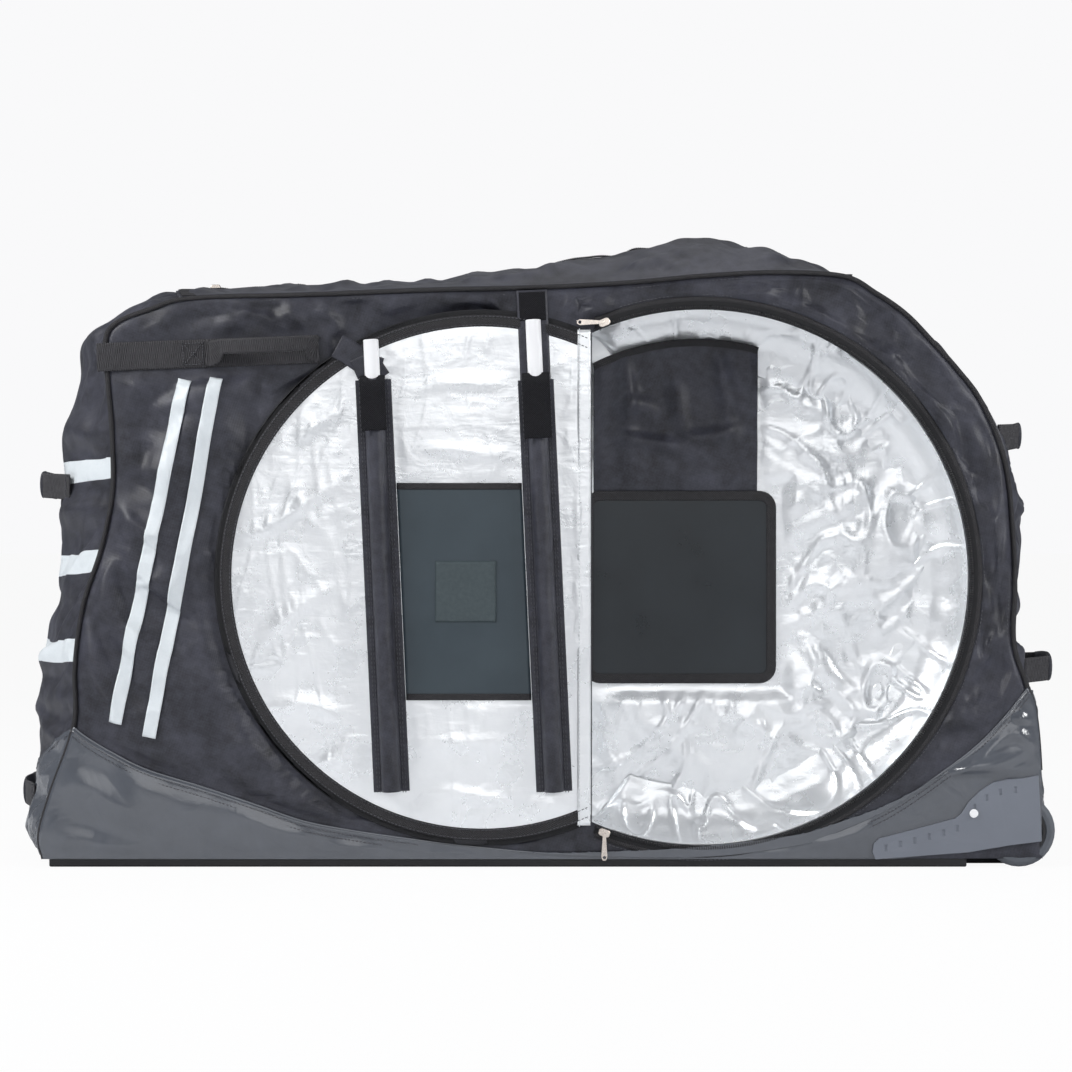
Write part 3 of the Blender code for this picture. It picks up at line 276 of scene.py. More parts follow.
def beadShape(length, width, height):
    # a thread seen from outside: three rings of four points, the end rings small
    rings = [(-0.5, 0.25), (-0.28, 1), (0.28, 1), (0.5, 0.25)]
    points = [(x * length, y * width * r / 2, z * height * r) for x, r in rings
              for y, z in ((-1, -0.2), (1, -0.2), (1, 0.75), (-1, 0.75))]
    faces = [(4 * k + a, 4 * k + (a + 1) % 4, 4 * k + 4 + (a + 1) % 4, 4 * k + 4 + a)
             for k in range(3) for a in range(4)]
    faces += [(3, 2, 1, 0), (12, 13, 14, 15)]
    return points, faces


sewing = {"width": 0.0011, "roundness": 0.7, "lift": 0.0003}


def stitches(name, path, up, material, body, pitch=0.0052, length=0.0038):
    # a row of threads, pitch apart, lifted a little off the cloth
    line = evenly(np.asarray(path), pitch)
    tangent, _, raised = frames(line, up)
    shape, faces = beadShape(length, sewing["width"], sewing["width"] * sewing["roundness"])
    piece = repeated(name, shape, faces, line + raised * sewing["lift"], tangent, raised, material)
    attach(piece, body)
    return piece


def toothShape(length, width, height):
    # one zip tooth: a block with straight sides that narrows towards its top
    x, y, z = length / 2, width / 2, height
    points = [(sx * x * t, sy * y, k) for k, t in ((0, 1), (z * 0.75, 1), (z, 0.55))
              for sx, sy in ((-1, -1), (1, -1), (1, 1), (-1, 1))]
    faces = [(4 * k + a, 4 * k + (a + 1) % 4, 4 * k + 4 + (a + 1) % 4, 4 * k + 4 + a)
             for k in range(2) for a in range(4)]
    faces += [(3, 2, 1, 0), (8, 9, 10, 11)]
    return points, faces


def coons(bottom, top, left, right):
    # a patch inside four edge curves: (1-v)bottom + v top + (1-u)left + u right - the four corners' blend
    u = np.linspace(0, 1, len(bottom))[None, :, None]
    v = np.linspace(0, 1, len(left))[:, None, None]
    corners = ((1 - v) * ((1 - u) * bottom[0] + u * bottom[-1]) + v * ((1 - u) * top[0] + u * top[-1]))
    return (1 - v) * bottom[None] + v * top[None] + (1 - u) * left[:, None] + u * right[:, None] - corners


def withDepth(plane, depth):
    # x and z on a plane, and y from a depth for each point
    return np.stack([plane[..., 0], np.broadcast_to(depth, plane.shape[:-1]), plane[..., 1]], -1)


settling = {"frames": 20, "quality": 5, "mass": 0.3, "airDamping": 1.0, "damping": 8}


def settled(grid, pinned, look, aroundU=False):
    # Blender's cloth run on a copy of the grid: pinned points hold, the rest is cut look["slack"] too long and
    # swells, so it buckles into folds. Each point's move is capped.
    began = time.time()
    scene = bpy.context.scene
    piece = makePiece("settling_copy", grid, [], aroundU=aroundU, away=look["away"])
    piece.vertex_groups.new(name="pinned").add(np.flatnonzero(pinned.ravel()).tolist(), 1.0, "REPLACE")
    cloth = piece.modifiers.new("settle", "CLOTH")
    rules = cloth.settings
    rules.quality, rules.mass, rules.air_damping = settling["quality"], settling["mass"], settling["airDamping"]
    rules.tension_stiffness = rules.compression_stiffness = look["stiff"]
    rules.shear_stiffness, rules.bending_stiffness = look["stiff"] / 2, look["bend"]
    rules.tension_damping = rules.compression_damping = settling["damping"]
    rules.vertex_group_mass, rules.shrink_min = "pinned", -look["slack"]
    rules.use_pressure, rules.uniform_pressure_force = True, look["pressure"]
    rules.effector_weights.gravity = look.get("gravity", 0.0)
    cloth.collision_settings.use_collision = False
    cloth.point_cache.frame_end = settling["frames"]
    for step in range(1, settling["frames"] + 1):
        scene.frame_set(step)
    shown = piece.evaluated_get(bpy.context.evaluated_depsgraph_get()).data
    points = np.empty(len(shown.vertices) * 3)
    shown.vertices.foreach_get("co", points)
    move = points.reshape(grid.shape) - grid
    reach = np.linalg.norm(move, axis=2, keepdims=True)
    bpy.data.objects.remove(piece)
    scene.frame_set(1)
    moved = round(float(reach.max()) * 1000, 1)
    print("cloth settled", round(time.time() - began, 1), "s, moved up to", moved, "mm")
    return grid + move * np.minimum(1, look["cap"] / np.maximum(reach, 1e-9))


def mirrorFar(points):
    return np.asarray(points) * [1, -1, 1]


def closedFlap(points):
    # the far flap, closed: turned half round the sewn edge and set on the far side
    points = np.asarray(points)
    return np.stack([2 * opening["hingeX"] - points[..., 0], points[..., 1] + flapShift, points[..., 2]], -1)


def keep(points):
    return np.asarray(points, float)


sides = (("near", keep), ("far", mirrorFar))


def coarser(grid, aroundU=False):
    # every second row and column, the last ones kept, for what hardly shows: the far linings and the flap cloths
    rows, cols = (np.unique(np.append(np.arange(0, n, 2), n - 1)) for n in grid.shape[:2])
    return grid[rows][:, np.arange(0, grid.shape[1], 2) if aroundU else cols]


def outlineGap(x, z):
    # distance outside (positive) or inside (negative) the round opening, its straight side included
    ring = np.hypot(x - opening["x"], z - opening["z"]) - opening["radius"]
    return np.maximum(ring, opening["hingeX"] - x)


# Colours and materials

def linear(hexText):
    # sRGB hex to linear: ((c + 0.055) / 1.055)^2.4, or c / 12.92 near black
    parts = [int(hexText[i:i + 2], 16) / 255 for i in (0, 2, 4)]
    return tuple(c / 12.92 if c < 0.04045 else ((c + 0.055) / 1.055) ** 2.4 for c in parts) + (1.0,)


def addNode(tree, kind, settings=None, links=None):
    node = tree.nodes.new("ShaderNode" + kind)
    for key, value in (settings or {}).items():
        if isinstance(key, int) or key in node.inputs:
            node.inputs[key].default_value = value
        else:
            setattr(node, key, value)
    for key, source in (links or {}).items():
        tree.links.new(source, node.inputs[key])
    return node


def maths(tree, operation, *inputs, clamp=False):
    # one Math node: numbers are set, sockets are linked
    node = addNode(tree, "Math", {"operation": operation, "use_clamp": clamp})
    for key, value in enumerate(inputs):
        if isinstance(value, (int, float)):
            node.inputs[key].default_value = value
        else:
            tree.links.new(value, node.inputs[key])
    return node.outputs[0]


def noise(tree, place, sizeMm, detail, **more):
    # soft noise whose features are about sizeMm across
    settings = {"Scale": 1000 / sizeMm, "Detail": detail, **more}
    return addNode(tree, "TexNoise", settings, {"Vector": place}).outputs[0]


def newMaterial(name, shine):
    material = bpy.data.materials.new(name)
    material.use_nodes = True
    tree = material.node_tree
    surface = tree.nodes["Principled BSDF"]
    for key, value in shine.items():
        surface.inputs[key].default_value = value
    return material, tree, surface


def blendColour(tree, factor, dark, light):
    ramp = addNode(tree, "ValToRGB", links={0: factor})
    ramp.color_ramp.elements[0].color = linear(dark)
    ramp.color_ramp.elements[1].color = linear(light)
    return ramp.outputs[0]


def wovenCloth(name, look):
    # Threads over and under: sin(u) * sin(v) at the thread spacing, on the cloth's own UV in metres.
    material, tree, surface = newMaterial(name, look["shine"])
    place = addNode(tree, "UVMap", {"uv_map": "cloth"}).outputs[0]
    turned = addNode(tree, "Mapping", {"Rotation": (0, 0, look.get("turn", 0))}, {0: place}).outputs[0]
    split = addNode(tree, "SeparateXYZ", links={0: turned})
    sines = []
    for axis, thread in ((0, look.get("acrossMm", look["threadMm"])), (1, look["threadMm"])):
        rate = math.pi / thread * 1000
        sines.append(maths(tree, "SINE", maths(tree, "MULTIPLY", split.outputs[axis], rate)))
    weave = maths(tree, "MULTIPLY", *sines)
    blotch = noise(tree, place, look["blotchMm"], 5.0, Roughness=0.62)
    slub = noise(tree, place, look["threadMm"] * 2.2, 2.0)
    tone = maths(tree, "MULTIPLY_ADD", weave, look["threadTone"], 0.0)
    mixed = maths(tree, "ADD", blotch, tone)
    grain = maths(tree, "MULTIPLY_ADD", slub, 0.35, -0.17)
    # broad soft patches, darker and lighter, laid at random: painted shade and painted sheen of folds, not a tone
    # of the cloth
    if "paintedShadeMm" in look:
        broad = noise(tree, place, look["paintedShadeMm"], 3.0, Distortion=0.9)
        paintedShade = addNode(tree, "MapRange", {"From Min": 0.36, "From Max": 0.64, "To Min": -0.20, "To Max": 0.17},
                       {"Value": broad}).outputs[0]
        mixed = maths(tree, "ADD", mixed, paintedShade)
    factor = maths(tree, "ADD", mixed, grain, clamp=True)
    tree.links.new(blendColour(tree, factor, look["dark"], look["light"]), surface.inputs["Base Color"])
    bump = addNode(tree, "Bump", {"Strength": look["bump"], "Distance": look["threadMm"] / 4000},
                   {"Height": maths(tree, "ADD", weave, slub)})
    tree.links.new(bump.outputs[0], surface.inputs["Normal"])
    return material


def coatedSheet(name, look):
    # A smooth skin: soft blotches in colour and gloss, fine creases and grain in the bump.
    material, tree, surface = newMaterial(name, look.get("shine", {"Specular IOR Level": 0.5}))
    place = addNode(tree, "TexCoord").outputs["Object"]
    blotch = noise(tree, place, look["blotchMm"], 6.0, Roughness=0.6)
    tree.links.new(blendColour(tree, blotch, look["dark"], look["light"]), surface.inputs["Base Color"])
    low, high = look["gloss"]
    gloss = addNode(tree, "MapRange", {"From Min": 0.3, "From Max": 0.7, "To Min": low, "To Max": high},
                    {"Value": blotch}).outputs[0]
    tree.links.new(gloss, surface.inputs["Roughness"])
    grain = noise(tree, place, look["grainMm"], 3.0)
    crease = noise(tree, place, look["creaseMm"], 2.0, Distortion=1.2)
    fine = addNode(tree, "Bump", {"Strength": look["grain"], "Distance": look["grainMm"] / 3000},
                   {"Height": grain})
    if "crackleMm" in look:
        stretched = addNode(tree, "Mapping", {"Scale": (0.22, 1, 1)}, {0: place}).outputs[0]
        crackle = noise(tree, stretched, look["crackleMm"], 4.0, Distortion=0.6)
        fine = addNode(tree, "Bump", {"Strength": look["crackle"], "Distance": look["crackleMm"] / 6000},
                       {"Height": crackle, "Normal": fine.outputs[0]})
    bump = addNode(tree, "Bump", {"Strength": look["crease"], "Distance": look["creaseMm"] / 20000},
                   {"Height": crease, "Normal": fine.outputs[0]})
    tree.links.new(bump.outputs[0], surface.inputs["Normal"])
    return material


# Dense polyamide plain weave, dyed in the yarn: a dull black with a faint weave and soft sheen on folds.
# The real thread spacing, 0.5 mm, doesn't show at this distance, so it is drawn three times as coarse.
# Its broad darker and lighter patches are painted shade and painted sheen, not the cloth's own colour.
blackNylon = wovenCloth("woven_black_polyamide", {
    "dark": "0f0f13", "light": "444550", "threadMm": 1.4, "threadTone": 0.16, "blotchMm": 16, "paintedShadeMm": 95,
    "bump": 0.2,
    "turn": 0.6,
    "shine": {"Roughness": 0.48, "Specular IOR Level": 0.42, "Sheen Weight": 0.05, "Sheen Roughness": 0.4}})
# The same cloth coated black on the inside: flatter and darker.
innerNylon = wovenCloth("coated_polyamide_back", {
    "dark": "1b1b1f", "light": "2c2c32", "threadMm": 1.5, "threadTone": 0.2, "blotchMm": 20, "bump": 0.3,
    "shine": {"Roughness": 0.5, "Specular IOR Level": 0.45}})
# Polypropylene webbing, woven in ribs 2 mm apart: matt black, with ribs that catch light.
blackWebbing = wovenCloth("ribbed_polypropylene_webbing", {
    "dark": "1b1a1c", "light": "3c3b3f", "threadMm": 1.5, "acrossMm": 9.0, "threadTone": 0.5, "blotchMm": 9,
    "bump": 0.9,
    "shine": {"Roughness": 0.7, "Specular IOR Level": 0.4, "Sheen Weight": 0.1}})
# Grosgrain binding tape folded over the edges: finer ribs, a soft warm black.
darkBinding = wovenCloth("grosgrain_polyester_binding", {
    "dark": "161517", "light": "313033", "threadMm": 1.6, "threadTone": 0.4, "blotchMm": 8, "bump": 0.8,
    "shine": {"Roughness": 0.65, "Specular IOR Level": 0.4}})
# Looped hook tape: a deep matt black that swallows light.
hookTape = wovenCloth("looped_polyamide_hook_tape", {
    "dark": "0e0e10", "light": "26262a", "threadMm": 1.4, "threadTone": 0.7, "blotchMm": 3, "bump": 1.0,
    "shine": {"Roughness": 0.9, "Specular IOR Level": 0.2}})
# Zip tape, polyester herringbone: near black, dull.
zipTape = wovenCloth("polyester_zip_tape", {
    "dark": "101012", "light": "222225", "threadMm": 1.2, "threadTone": 0.4, "blotchMm": 7, "bump": 0.6,
    "shine": {"Roughness": 0.75, "Specular IOR Level": 0.35}})
# Sewing thread, polyester filament: round, with a small glint.
darkThread = wovenCloth("polyester_sewing_thread", {
    "dark": "2e2e33", "light": "55555c", "threadMm": 0.5, "threadTone": 0.3, "blotchMm": 2, "bump": 0.3,
    "shine": {"Roughness": 0.5, "Specular IOR Level": 0.5}})
paleThread = wovenCloth("pale_polyester_thread", {
    "dark": "c9cfd2", "light": "eef1f2", "threadMm": 0.5, "threadTone": 0.2, "blotchMm": 2, "bump": 0.3,
    "shine": {"Roughness": 0.5, "Specular IOR Level": 0.5}})
# Glass bead reflective tape: a flat light grey with a very fine grain.
reflectiveTape = wovenCloth("glass_bead_reflective_tape", {
    "dark": "cdd4d8", "light": "e2e7ea", "threadMm": 1.0, "threadTone": 0.15, "blotchMm": 18, "bump": 0.15,
    "shine": {"Roughness": 0.42, "Specular IOR Level": 0.55}})
# Polyester cloth coated in PVC: smooth, dark grey, with broad satin lights on its creases.
greyTarpaulin = coatedSheet("coated_grey_tarpaulin", {
    "dark": "3f4248", "light": "5a5e66", "blotchMm": 90, "grainMm": 1.6, "creaseMm": 45, "grain": 0.12,
    "crease": 0.5, "gloss": (0.14, 0.24), "shine": {"Specular IOR Level": 0.95}})
# Metallised woven polyethylene: bright, soft mirror crumples over a fine scrim.
silverLining = coatedSheet("metallised_polyethylene_lining", {
    "dark": "e6e9ec", "light": "f9fafb", "blotchMm": 60, "grainMm": 2.4, "creaseMm": 24, "grain": 0.10,
    "crease": 0.45, "crackleMm": 9, "crackle": 0.3, "gloss": (0.22, 0.36), "shine": {"Metallic": 0.60}})
# Extruded polypropylene sheet: blue-black, satin, faintly scuffed.
darkPlate = coatedSheet("extruded_dark_plate", {
    "dark": "27323a", "light": "3a464d", "blotchMm": 70, "grainMm": 1.2, "creaseMm": 60, "grain": 0.1,
    "crease": 0.06, "gloss": (0.28, 0.42)})
# The plate inside the pocket stands in shadow, and that shade is painted into its colour: it is darker still.
hubPlate = coatedSheet("extruded_plate_painted_shade", {
    "dark": "12171b", "light": "20272d", "blotchMm": 80, "grainMm": 1.2, "creaseMm": 60, "grain": 0.1,
    "crease": 0.06, "gloss": (0.25, 0.4)})
# Cast polyurethane pad: a slightly lighter, speckled grey-green.
castPad = coatedSheet("cast_polyurethane_pad", {
    "dark": "303a40", "light": "495456", "blotchMm": 5, "grainMm": 2.0, "creaseMm": 12, "grain": 0.5,
    "crease": 0.3, "gloss": (0.45, 0.6), "shine": {"Specular IOR Level": 0.4}})
# Injection moulded polypropylene, spark textured: satin mid grey.
greyPlastic = coatedSheet("moulded_grey_polypropylene", {
    "dark": "666a73", "light": "767b85", "blotchMm": 120, "grainMm": 0.9, "creaseMm": 80, "grain": 0.35,
    "crease": 0.05, "gloss": (0.36, 0.46)})
# The tray and the axle: the same moulding in black.
blackPlastic = coatedSheet("moulded_black_polypropylene", {
    "dark": "17171a", "light": "242427", "blotchMm": 60, "grainMm": 1.2, "creaseMm": 60, "grain": 0.35,
    "crease": 0.05, "gloss": (0.4, 0.55)})
# Thermoplastic rubber tyre: mid grey, matt, a little dusty.
rollerRubber = coatedSheet("moulded_grey_rubber", {
    "dark": "4c5056", "light": "62666d", "blotchMm": 20, "grainMm": 1.0, "creaseMm": 30, "grain": 0.3,
    "crease": 0.08, "gloss": (0.5, 0.65), "shine": {"Specular IOR Level": 0.45}})
# Extruded PVC pipe: clean white with a soft gloss.
whitePipe = coatedSheet("extruded_white_vinyl", {
    "dark": "ececee", "light": "f8f8f9", "blotchMm": 50, "grainMm": 3.0, "creaseMm": 60, "grain": 0.04,
    "crease": 0.04, "gloss": (0.3, 0.42)})
# Nickel plated zinc casting: warm, bright, softened by tumbling.
platedZinc = coatedSheet("plated_zinc_casting", {
    "dark": "cfc4ba", "light": "e3dad2", "blotchMm": 6, "grainMm": 0.6, "creaseMm": 5, "grain": 0.2,
    "crease": 0.15, "gloss": (0.2, 0.34), "shine": {"Metallic": 1.0}})
# Moulded acetal teeth: black, slightly shiny.
zipTeeth = coatedSheet("moulded_acetal_teeth", {
    "dark": "121214", "light": "232327", "blotchMm": 9, "grainMm": 0.5, "creaseMm": 6, "grain": 0.1,
    "crease": 0.1, "gloss": (0.25, 0.4)})
print("materials made")


# Side panels

sidePanel = {
    "columnsPerDegree": {"left": 2.3, "right": 1.3},
    "rings": 78,
    "flapRecess": 0.0052,
    "cloth": {"slack": 0.05, "stiff": 18, "bend": 0.25, "pressure": 0.5, "cap": 0.010, "away": (0, 0.5, 0.4)},
    # x, z to x, z, half width and height of each soft fold on the panel, in metres
    "folds": [
        (-0.585, 0.640, -0.420, 0.700, 0.020, 0.004), (-0.575, 0.560, -0.480, 0.500, 0.022, 0.005),
        (-0.570, 0.470, -0.470, 0.420, 0.020, 0.006), (-0.560, 0.430, -0.440, 0.330, 0.018, 0.006),
        (-0.585, 0.400, -0.500, 0.240, 0.020, 0.005), (-0.600, 0.330, -0.560, 0.200, 0.016, 0.004),
        (-0.520, 0.600, -0.380, 0.640, 0.026, 0.004), (-0.540, 0.300, -0.400, 0.180, 0.024, 0.004),
        (-0.480, 0.560, -0.420, 0.440, 0.030, -0.004), (-0.420, 0.200, -0.360, 0.130, 0.020, 0.003),
        (-0.400, 0.735, -0.330, 0.705, 0.010, 0.004), (-0.350, 0.740, -0.300, 0.700, 0.008, 0.004),
        (-0.300, 0.735, -0.255, 0.705, 0.009, 0.004), (-0.240, 0.742, -0.150, 0.738, 0.010, 0.003),
        (0.120, 0.758, 0.230, 0.748, 0.008, 0.004), (0.220, 0.762, 0.330, 0.742, 0.008, 0.004),
        (0.300, 0.745, 0.400, 0.705, 0.010, 0.005), (0.380, 0.720, 0.480, 0.640, 0.012, 0.004),
        (0.470, 0.640, 0.560, 0.540, 0.013, 0.005), (0.560, 0.600, 0.590, 0.480, 0.012, 0.006),
        (0.600, 0.560, 0.600, 0.420, 0.010, 0.006), (0.575, 0.500, 0.605, 0.360, 0.010, 0.005),
        (0.612, 0.480, 0.590, 0.330, 0.009, 0.005), (0.565, 0.420, 0.600, 0.250, 0.012, 0.005),
        (0.605, 0.330, 0.560, 0.240, 0.010, 0.004), (0.520, 0.180, 0.580, 0.230, 0.014, 0.003),
    ],
}


def stripCover(x, z):
    # 1 where the carrying strip or the flap's right tab lies flat on the panel
    line = webbing["z"] + (x - webbing["left"]) * webbing["slope"]
    strip = smoothstep(-np.abs(z - line), -0.045, -0.022) * smoothstep(x, -0.60, -0.58)
    strip = strip * smoothstep(-x, 0.27, 0.30)
    tab = smoothstep(-np.abs(x + 0.007), -0.050, -0.028) * smoothstep(z, 0.62, 0.66)
    return np.maximum(strip, tab)


def skirtHeight(x):
    top = asPlace(throughRows(skirtShares, np.linspace(0, len(skirtShares) - 1, 400)))
    return np.interp(x, top[:, 0], top[:, 1])


def panelRelief(x, z, edge):
    # how far the cloth stands out: folds and slow waves, flat at the sewn edges, hollow where the flap lies
    flapGap = np.maximum(np.hypot(x - opening["flapX"], z - opening["z"]) - opening["flapReach"], x - 0.0636)
    underFlap = smoothstep(-flapGap, 0.0, 0.05)
    nearOpening = smoothstep(outlineGap(x, z), 0.014, 0.028)
    slow = 0.0045 * softNoise(x * 1.3, z, 0.15, 4) + 0.0030 * crumple(x, z * 0.7, 0.13, 9, 0.22)
    lift = 0.0040 + 2.2 * ridges(x, z, sidePanel["folds"]) + slow
    lift = lift * smoothstep(edge, 0.0, 0.03) * nearOpening * smoothstep(flapGap, -0.005, 0.02)
    lift = lift * (1 - stripCover(x, z))
    lift = lift * smoothstep(z - skirtHeight(x), 0.002, 0.03)
    return lift - sidePanel["flapRecess"] * underFlap - 0.0035 * smoothstep(-edge, -0.012, 0.0)


def polarOutline(centre):
    # the outer seam seen from the opening's centre: sorted angles and their reach, and where the foot begins
    count = 1200
    seam = seamLine(np.linspace(0, len(outlineShares) - 1, count))
    foot = np.linspace(seam[-1], seam[0], count // 3)[1:-1]
    loop = np.vstack([seam, foot]) - centre
    angle = np.arctan2(loop[:, 1], loop[:, 0])
    order = np.argsort(angle)
    return angle[order], np.hypot(loop[:, 0], loop[:, 1])[order], np.arctan2(
        *(seam[0] - centre)[::-1]), np.arctan2(*(seam[-1] - centre)[::-1])


def panelGrid():
    # r = inner + v * (outer - inner) round the opening's centre, y = -(face + relief)
    centre = np.array([opening["x"], opening["z"]])
    angles, reach, leftFoot, rightFoot = polarOutline(centre)
    notch = math.acos((opening["hingeX"] - opening["x"]) / opening["radius"])
    stops = [-math.pi, leftFoot, -notch, rightFoot, notch, math.pi]
    dense, sparse = sidePanel["columnsPerDegree"]["left"], sidePanel["columnsPerDegree"]["right"]
    turns = [np.linspace(a, b, max(8, int(math.degrees(b - a) * (sparse if abs(a + b) < 2 * notch else dense))),
                         endpoint=False) for a, b in zip(stops, stops[1:])]
    turn = np.concatenate(turns)
    outer = np.interp(turn, angles, reach, period=2 * math.pi)
    inner = np.full_like(turn, opening["radius"])
    chord = np.abs(turn) > notch
    inner[chord] = (opening["hingeX"] - opening["x"]) / np.cos(turn[chord])
    v = np.linspace(0, 1, sidePanel["rings"]) ** 1.05
    radius = inner[None] + v[:, None] * (outer - inner)[None]
    x = opening["x"] + radius * np.cos(turn)
    z = opening["z"] + radius * np.sin(turn)
    edge = outer[None] - radius
    y = -(bag["panelFace"] + panelRelief(x, z, edge))
    grid = np.stack([x, y, z], -1)
    free = smoothstep(edge, 0.004, 0.03) * smoothstep(outlineGap(x, z), 0.012, 0.035) * (1 - stripCover(x, z))
    free = free * smoothstep(z - skirtHeight(x), 0.002, 0.03)
    loose = settled(grid, free < 0.02, sidePanel["cloth"], aroundU=True)
    move = (loose - grid) * free[..., None]
    flapGap = np.maximum(np.hypot(x - opening["flapX"], z - opening["z"]) - opening["flapReach"], x - 0.0636)
    move[..., 1] = np.where(flapGap < 0.01, np.maximum(move[..., 1], 0), move[..., 1])
    return grid + move


def laidOn(grid, target, lift):
    # the grid moved along Y onto a piece by Blender's Shrinkwrap, on a copy, and then lifted off it a little
    piece = makePiece("laid_copy", grid, [], away=(0, 0, 0.4))
    wrap = piece.modifiers.new("lay", "SHRINKWRAP")
    wrap.wrap_method, wrap.target = "PROJECT", target
    wrap.use_project_y, wrap.use_negative_direction = True, True
    shown = piece.evaluated_get(bpy.context.evaluated_depsgraph_get()).data
    points = np.empty(len(shown.vertices) * 3)
    shown.vertices.foreach_get("co", points)
    bpy.data.objects.remove(piece)
    return points.reshape(grid.shape) - [0, lift, 0]


def makeSidePanels():
    grid = panelGrid()
    made = {}
    for side, place in sides:
        piece = makePiece(side + "_panel_cloth", place(grid), [blackNylon, innerNylon], aroundU=True,
                          thick=bag["wall"], away=(0, 0, 0.4), innerMaterial=1, cutFlat=True)
        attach(piece, "bag")
        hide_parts(side + "_side_panel")
        made[side] = piece
    return made


panels = makeSidePanels()
print("side panels made")


# End shells and lid

endShell = {
    "across": 84, "rowsPerUnit": 13, "wave": 0.0022,
    # how far the shell starts inside its outline, by row, so that the settled cloth ends on it
    "slim": {"left": ((0, 13), (0.005, 0.005)),
             "right": ((20, 21.5, 25.5, 27.5, 31, 34), (0.002, 0.014, 0.015, 0.010, 0.013, 0.013))},
    "cloth": {"slack": 0.05, "stiff": 18, "bend": 0.25, "pressure": 0.5, "cap": 0.008, "away": (0, 0, 0.35)},
}
leftBands = [(4.05, 4.40), (5.6, 5.95), (7.3, 7.65)]  # rows that the light tapes cross


def shellGrid(t, y, rise, folds, seed):
    # seam + (crest - seam) * (1 - |y / halfWidth|^2.4), lifted along its normal by folds that fade at the seams
    weight = 1 - (np.abs(y) / bag["halfWidth"]) ** bag["bulgePower"]
    seam, crest = seamLine(t), crestLine(t)
    plane = seam[:, None] + (crest - seam)[:, None] * weight[None, :, None]
    grid = np.stack([plane[..., 0], np.broadcast_to(y, plane.shape[:2]), plane[..., 1]], -1)
    normal = np.cross(np.gradient(grid, axis=0), np.gradient(grid, axis=1))
    normal /= np.linalg.norm(normal, axis=2, keepdims=True)
    middle = np.array([0, 0, 0.4])
    if (normal * (grid - middle)).sum() < 0:
        normal = -normal
    along = np.concatenate([[0], np.cumsum(np.linalg.norm(np.diff(seam, axis=0), axis=1))])
    a = along[:, None] + 0 * y
    b = y + 0 * along[:, None]
    cover = smoothstep(bag["halfWidth"] - np.abs(b), 0, 0.03)
    lift = endShell["wave"] * softNoise(a * 2.2, b, 0.16, seed) + 0.0014 * softNoise(a, b, 0.05, seed + 3)
    lift = lift + ridges(a, b, folds)
    return grid + normal * (rise + 1.4 * (lift - 0.001) * cover)[..., None], a, b


endFolds = {
    "left": [(0.16, -0.17, 0.22, 0.02, 0.012, 0.004), (0.30, -0.16, 0.24, 0.05, 0.014, 0.004),
             (0.36, 0.16, 0.30, -0.04, 0.012, 0.004), (0.50, -0.16, 0.44, 0.00, 0.014, 0.004),
             (0.60, 0.16, 0.56, -0.02, 0.012, 0.004), (0.70, -0.15, 0.66, 0.04, 0.016, 0.003)],
    "right": [(0.10, -0.16, 0.16, 0.04, 0.012, 0.004), (0.30, 0.16, 0.24, -0.02, 0.012, 0.004),
              (0.42, -0.17, 0.36, 0.02, 0.010, 0.005), (0.50, 0.17, 0.46, -0.04, 0.012, 0.004),
              (0.58, -0.16, 0.62, 0.04, 0.012, 0.004), (0.20, -0.17, 0.26, -0.02, 0.010, 0.004)],
    "lid": [(0.10, -0.16, 0.30, -0.10, 0.012, 0.004), (0.34, -0.16, 0.52, -0.12, 0.012, 0.004),
            (0.56, -0.15, 0.72, -0.09, 0.014, 0.004), (0.74, -0.15, 0.86, -0.10, 0.012, 0.004),
            (0.20, -0.05, 0.42, -0.02, 0.014, 0.003), (0.62, -0.06, 0.80, -0.03, 0.012, 0.003)],
}


def makeEnds():
    made = {}
    for side, first, last in (("left", 0, lidRows[0]), ("right", lidRows[1], len(outlineShares) - 1)):
        t = np.linspace(first, last, int((last - first) * endShell["rowsPerUnit"]) + 1)
        y = np.linspace(-bag["halfWidth"], bag["halfWidth"], endShell["across"])
        slim = np.interp(t, *endShell["slim"][side])[:, None] * smoothstep(bag["halfWidth"] - np.abs(y), 0, 0.05)
        slim = slim * smoothstep(t, first, first + 1)[:, None] * smoothstep(-t, -last, -last + 1)[:, None]
        grid, _, _ = shellGrid(t, y, -slim, endFolds[side], 20 + first)
        pinned = np.ones(grid.shape[:2], bool)
        pinned[2:-2, 2:-2] = False
        grid = settled(grid, pinned, endShell["cloth"])
        bands = np.zeros(grid.shape[:2], int)
        if side == "left":
            for low, high in leftBands:
                bands[(t >= low) & (t <= high)] = 2
        piece = makePiece(side + "_end_cloth", grid, [blackNylon, innerNylon, reflectiveTape], thick=bag["wall"],
                          away=(0, 0, 0.35), innerMaterial=1, faceMaterial=bands)
        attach(piece, "bag")
        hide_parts(side + "_gusset")
        made[side] = (grid, t)
    return made


# how many rows the lid reaches over each end shell, how far it comes down onto the right one, and its hems
lid = {"overLeft": 0.18, "overRight": 0.16, "down": 0.0030, "thick": 0.0035, "hemWidth": 0.020, "hemThick": 0.0014,
       "hemLift": 0.0006}


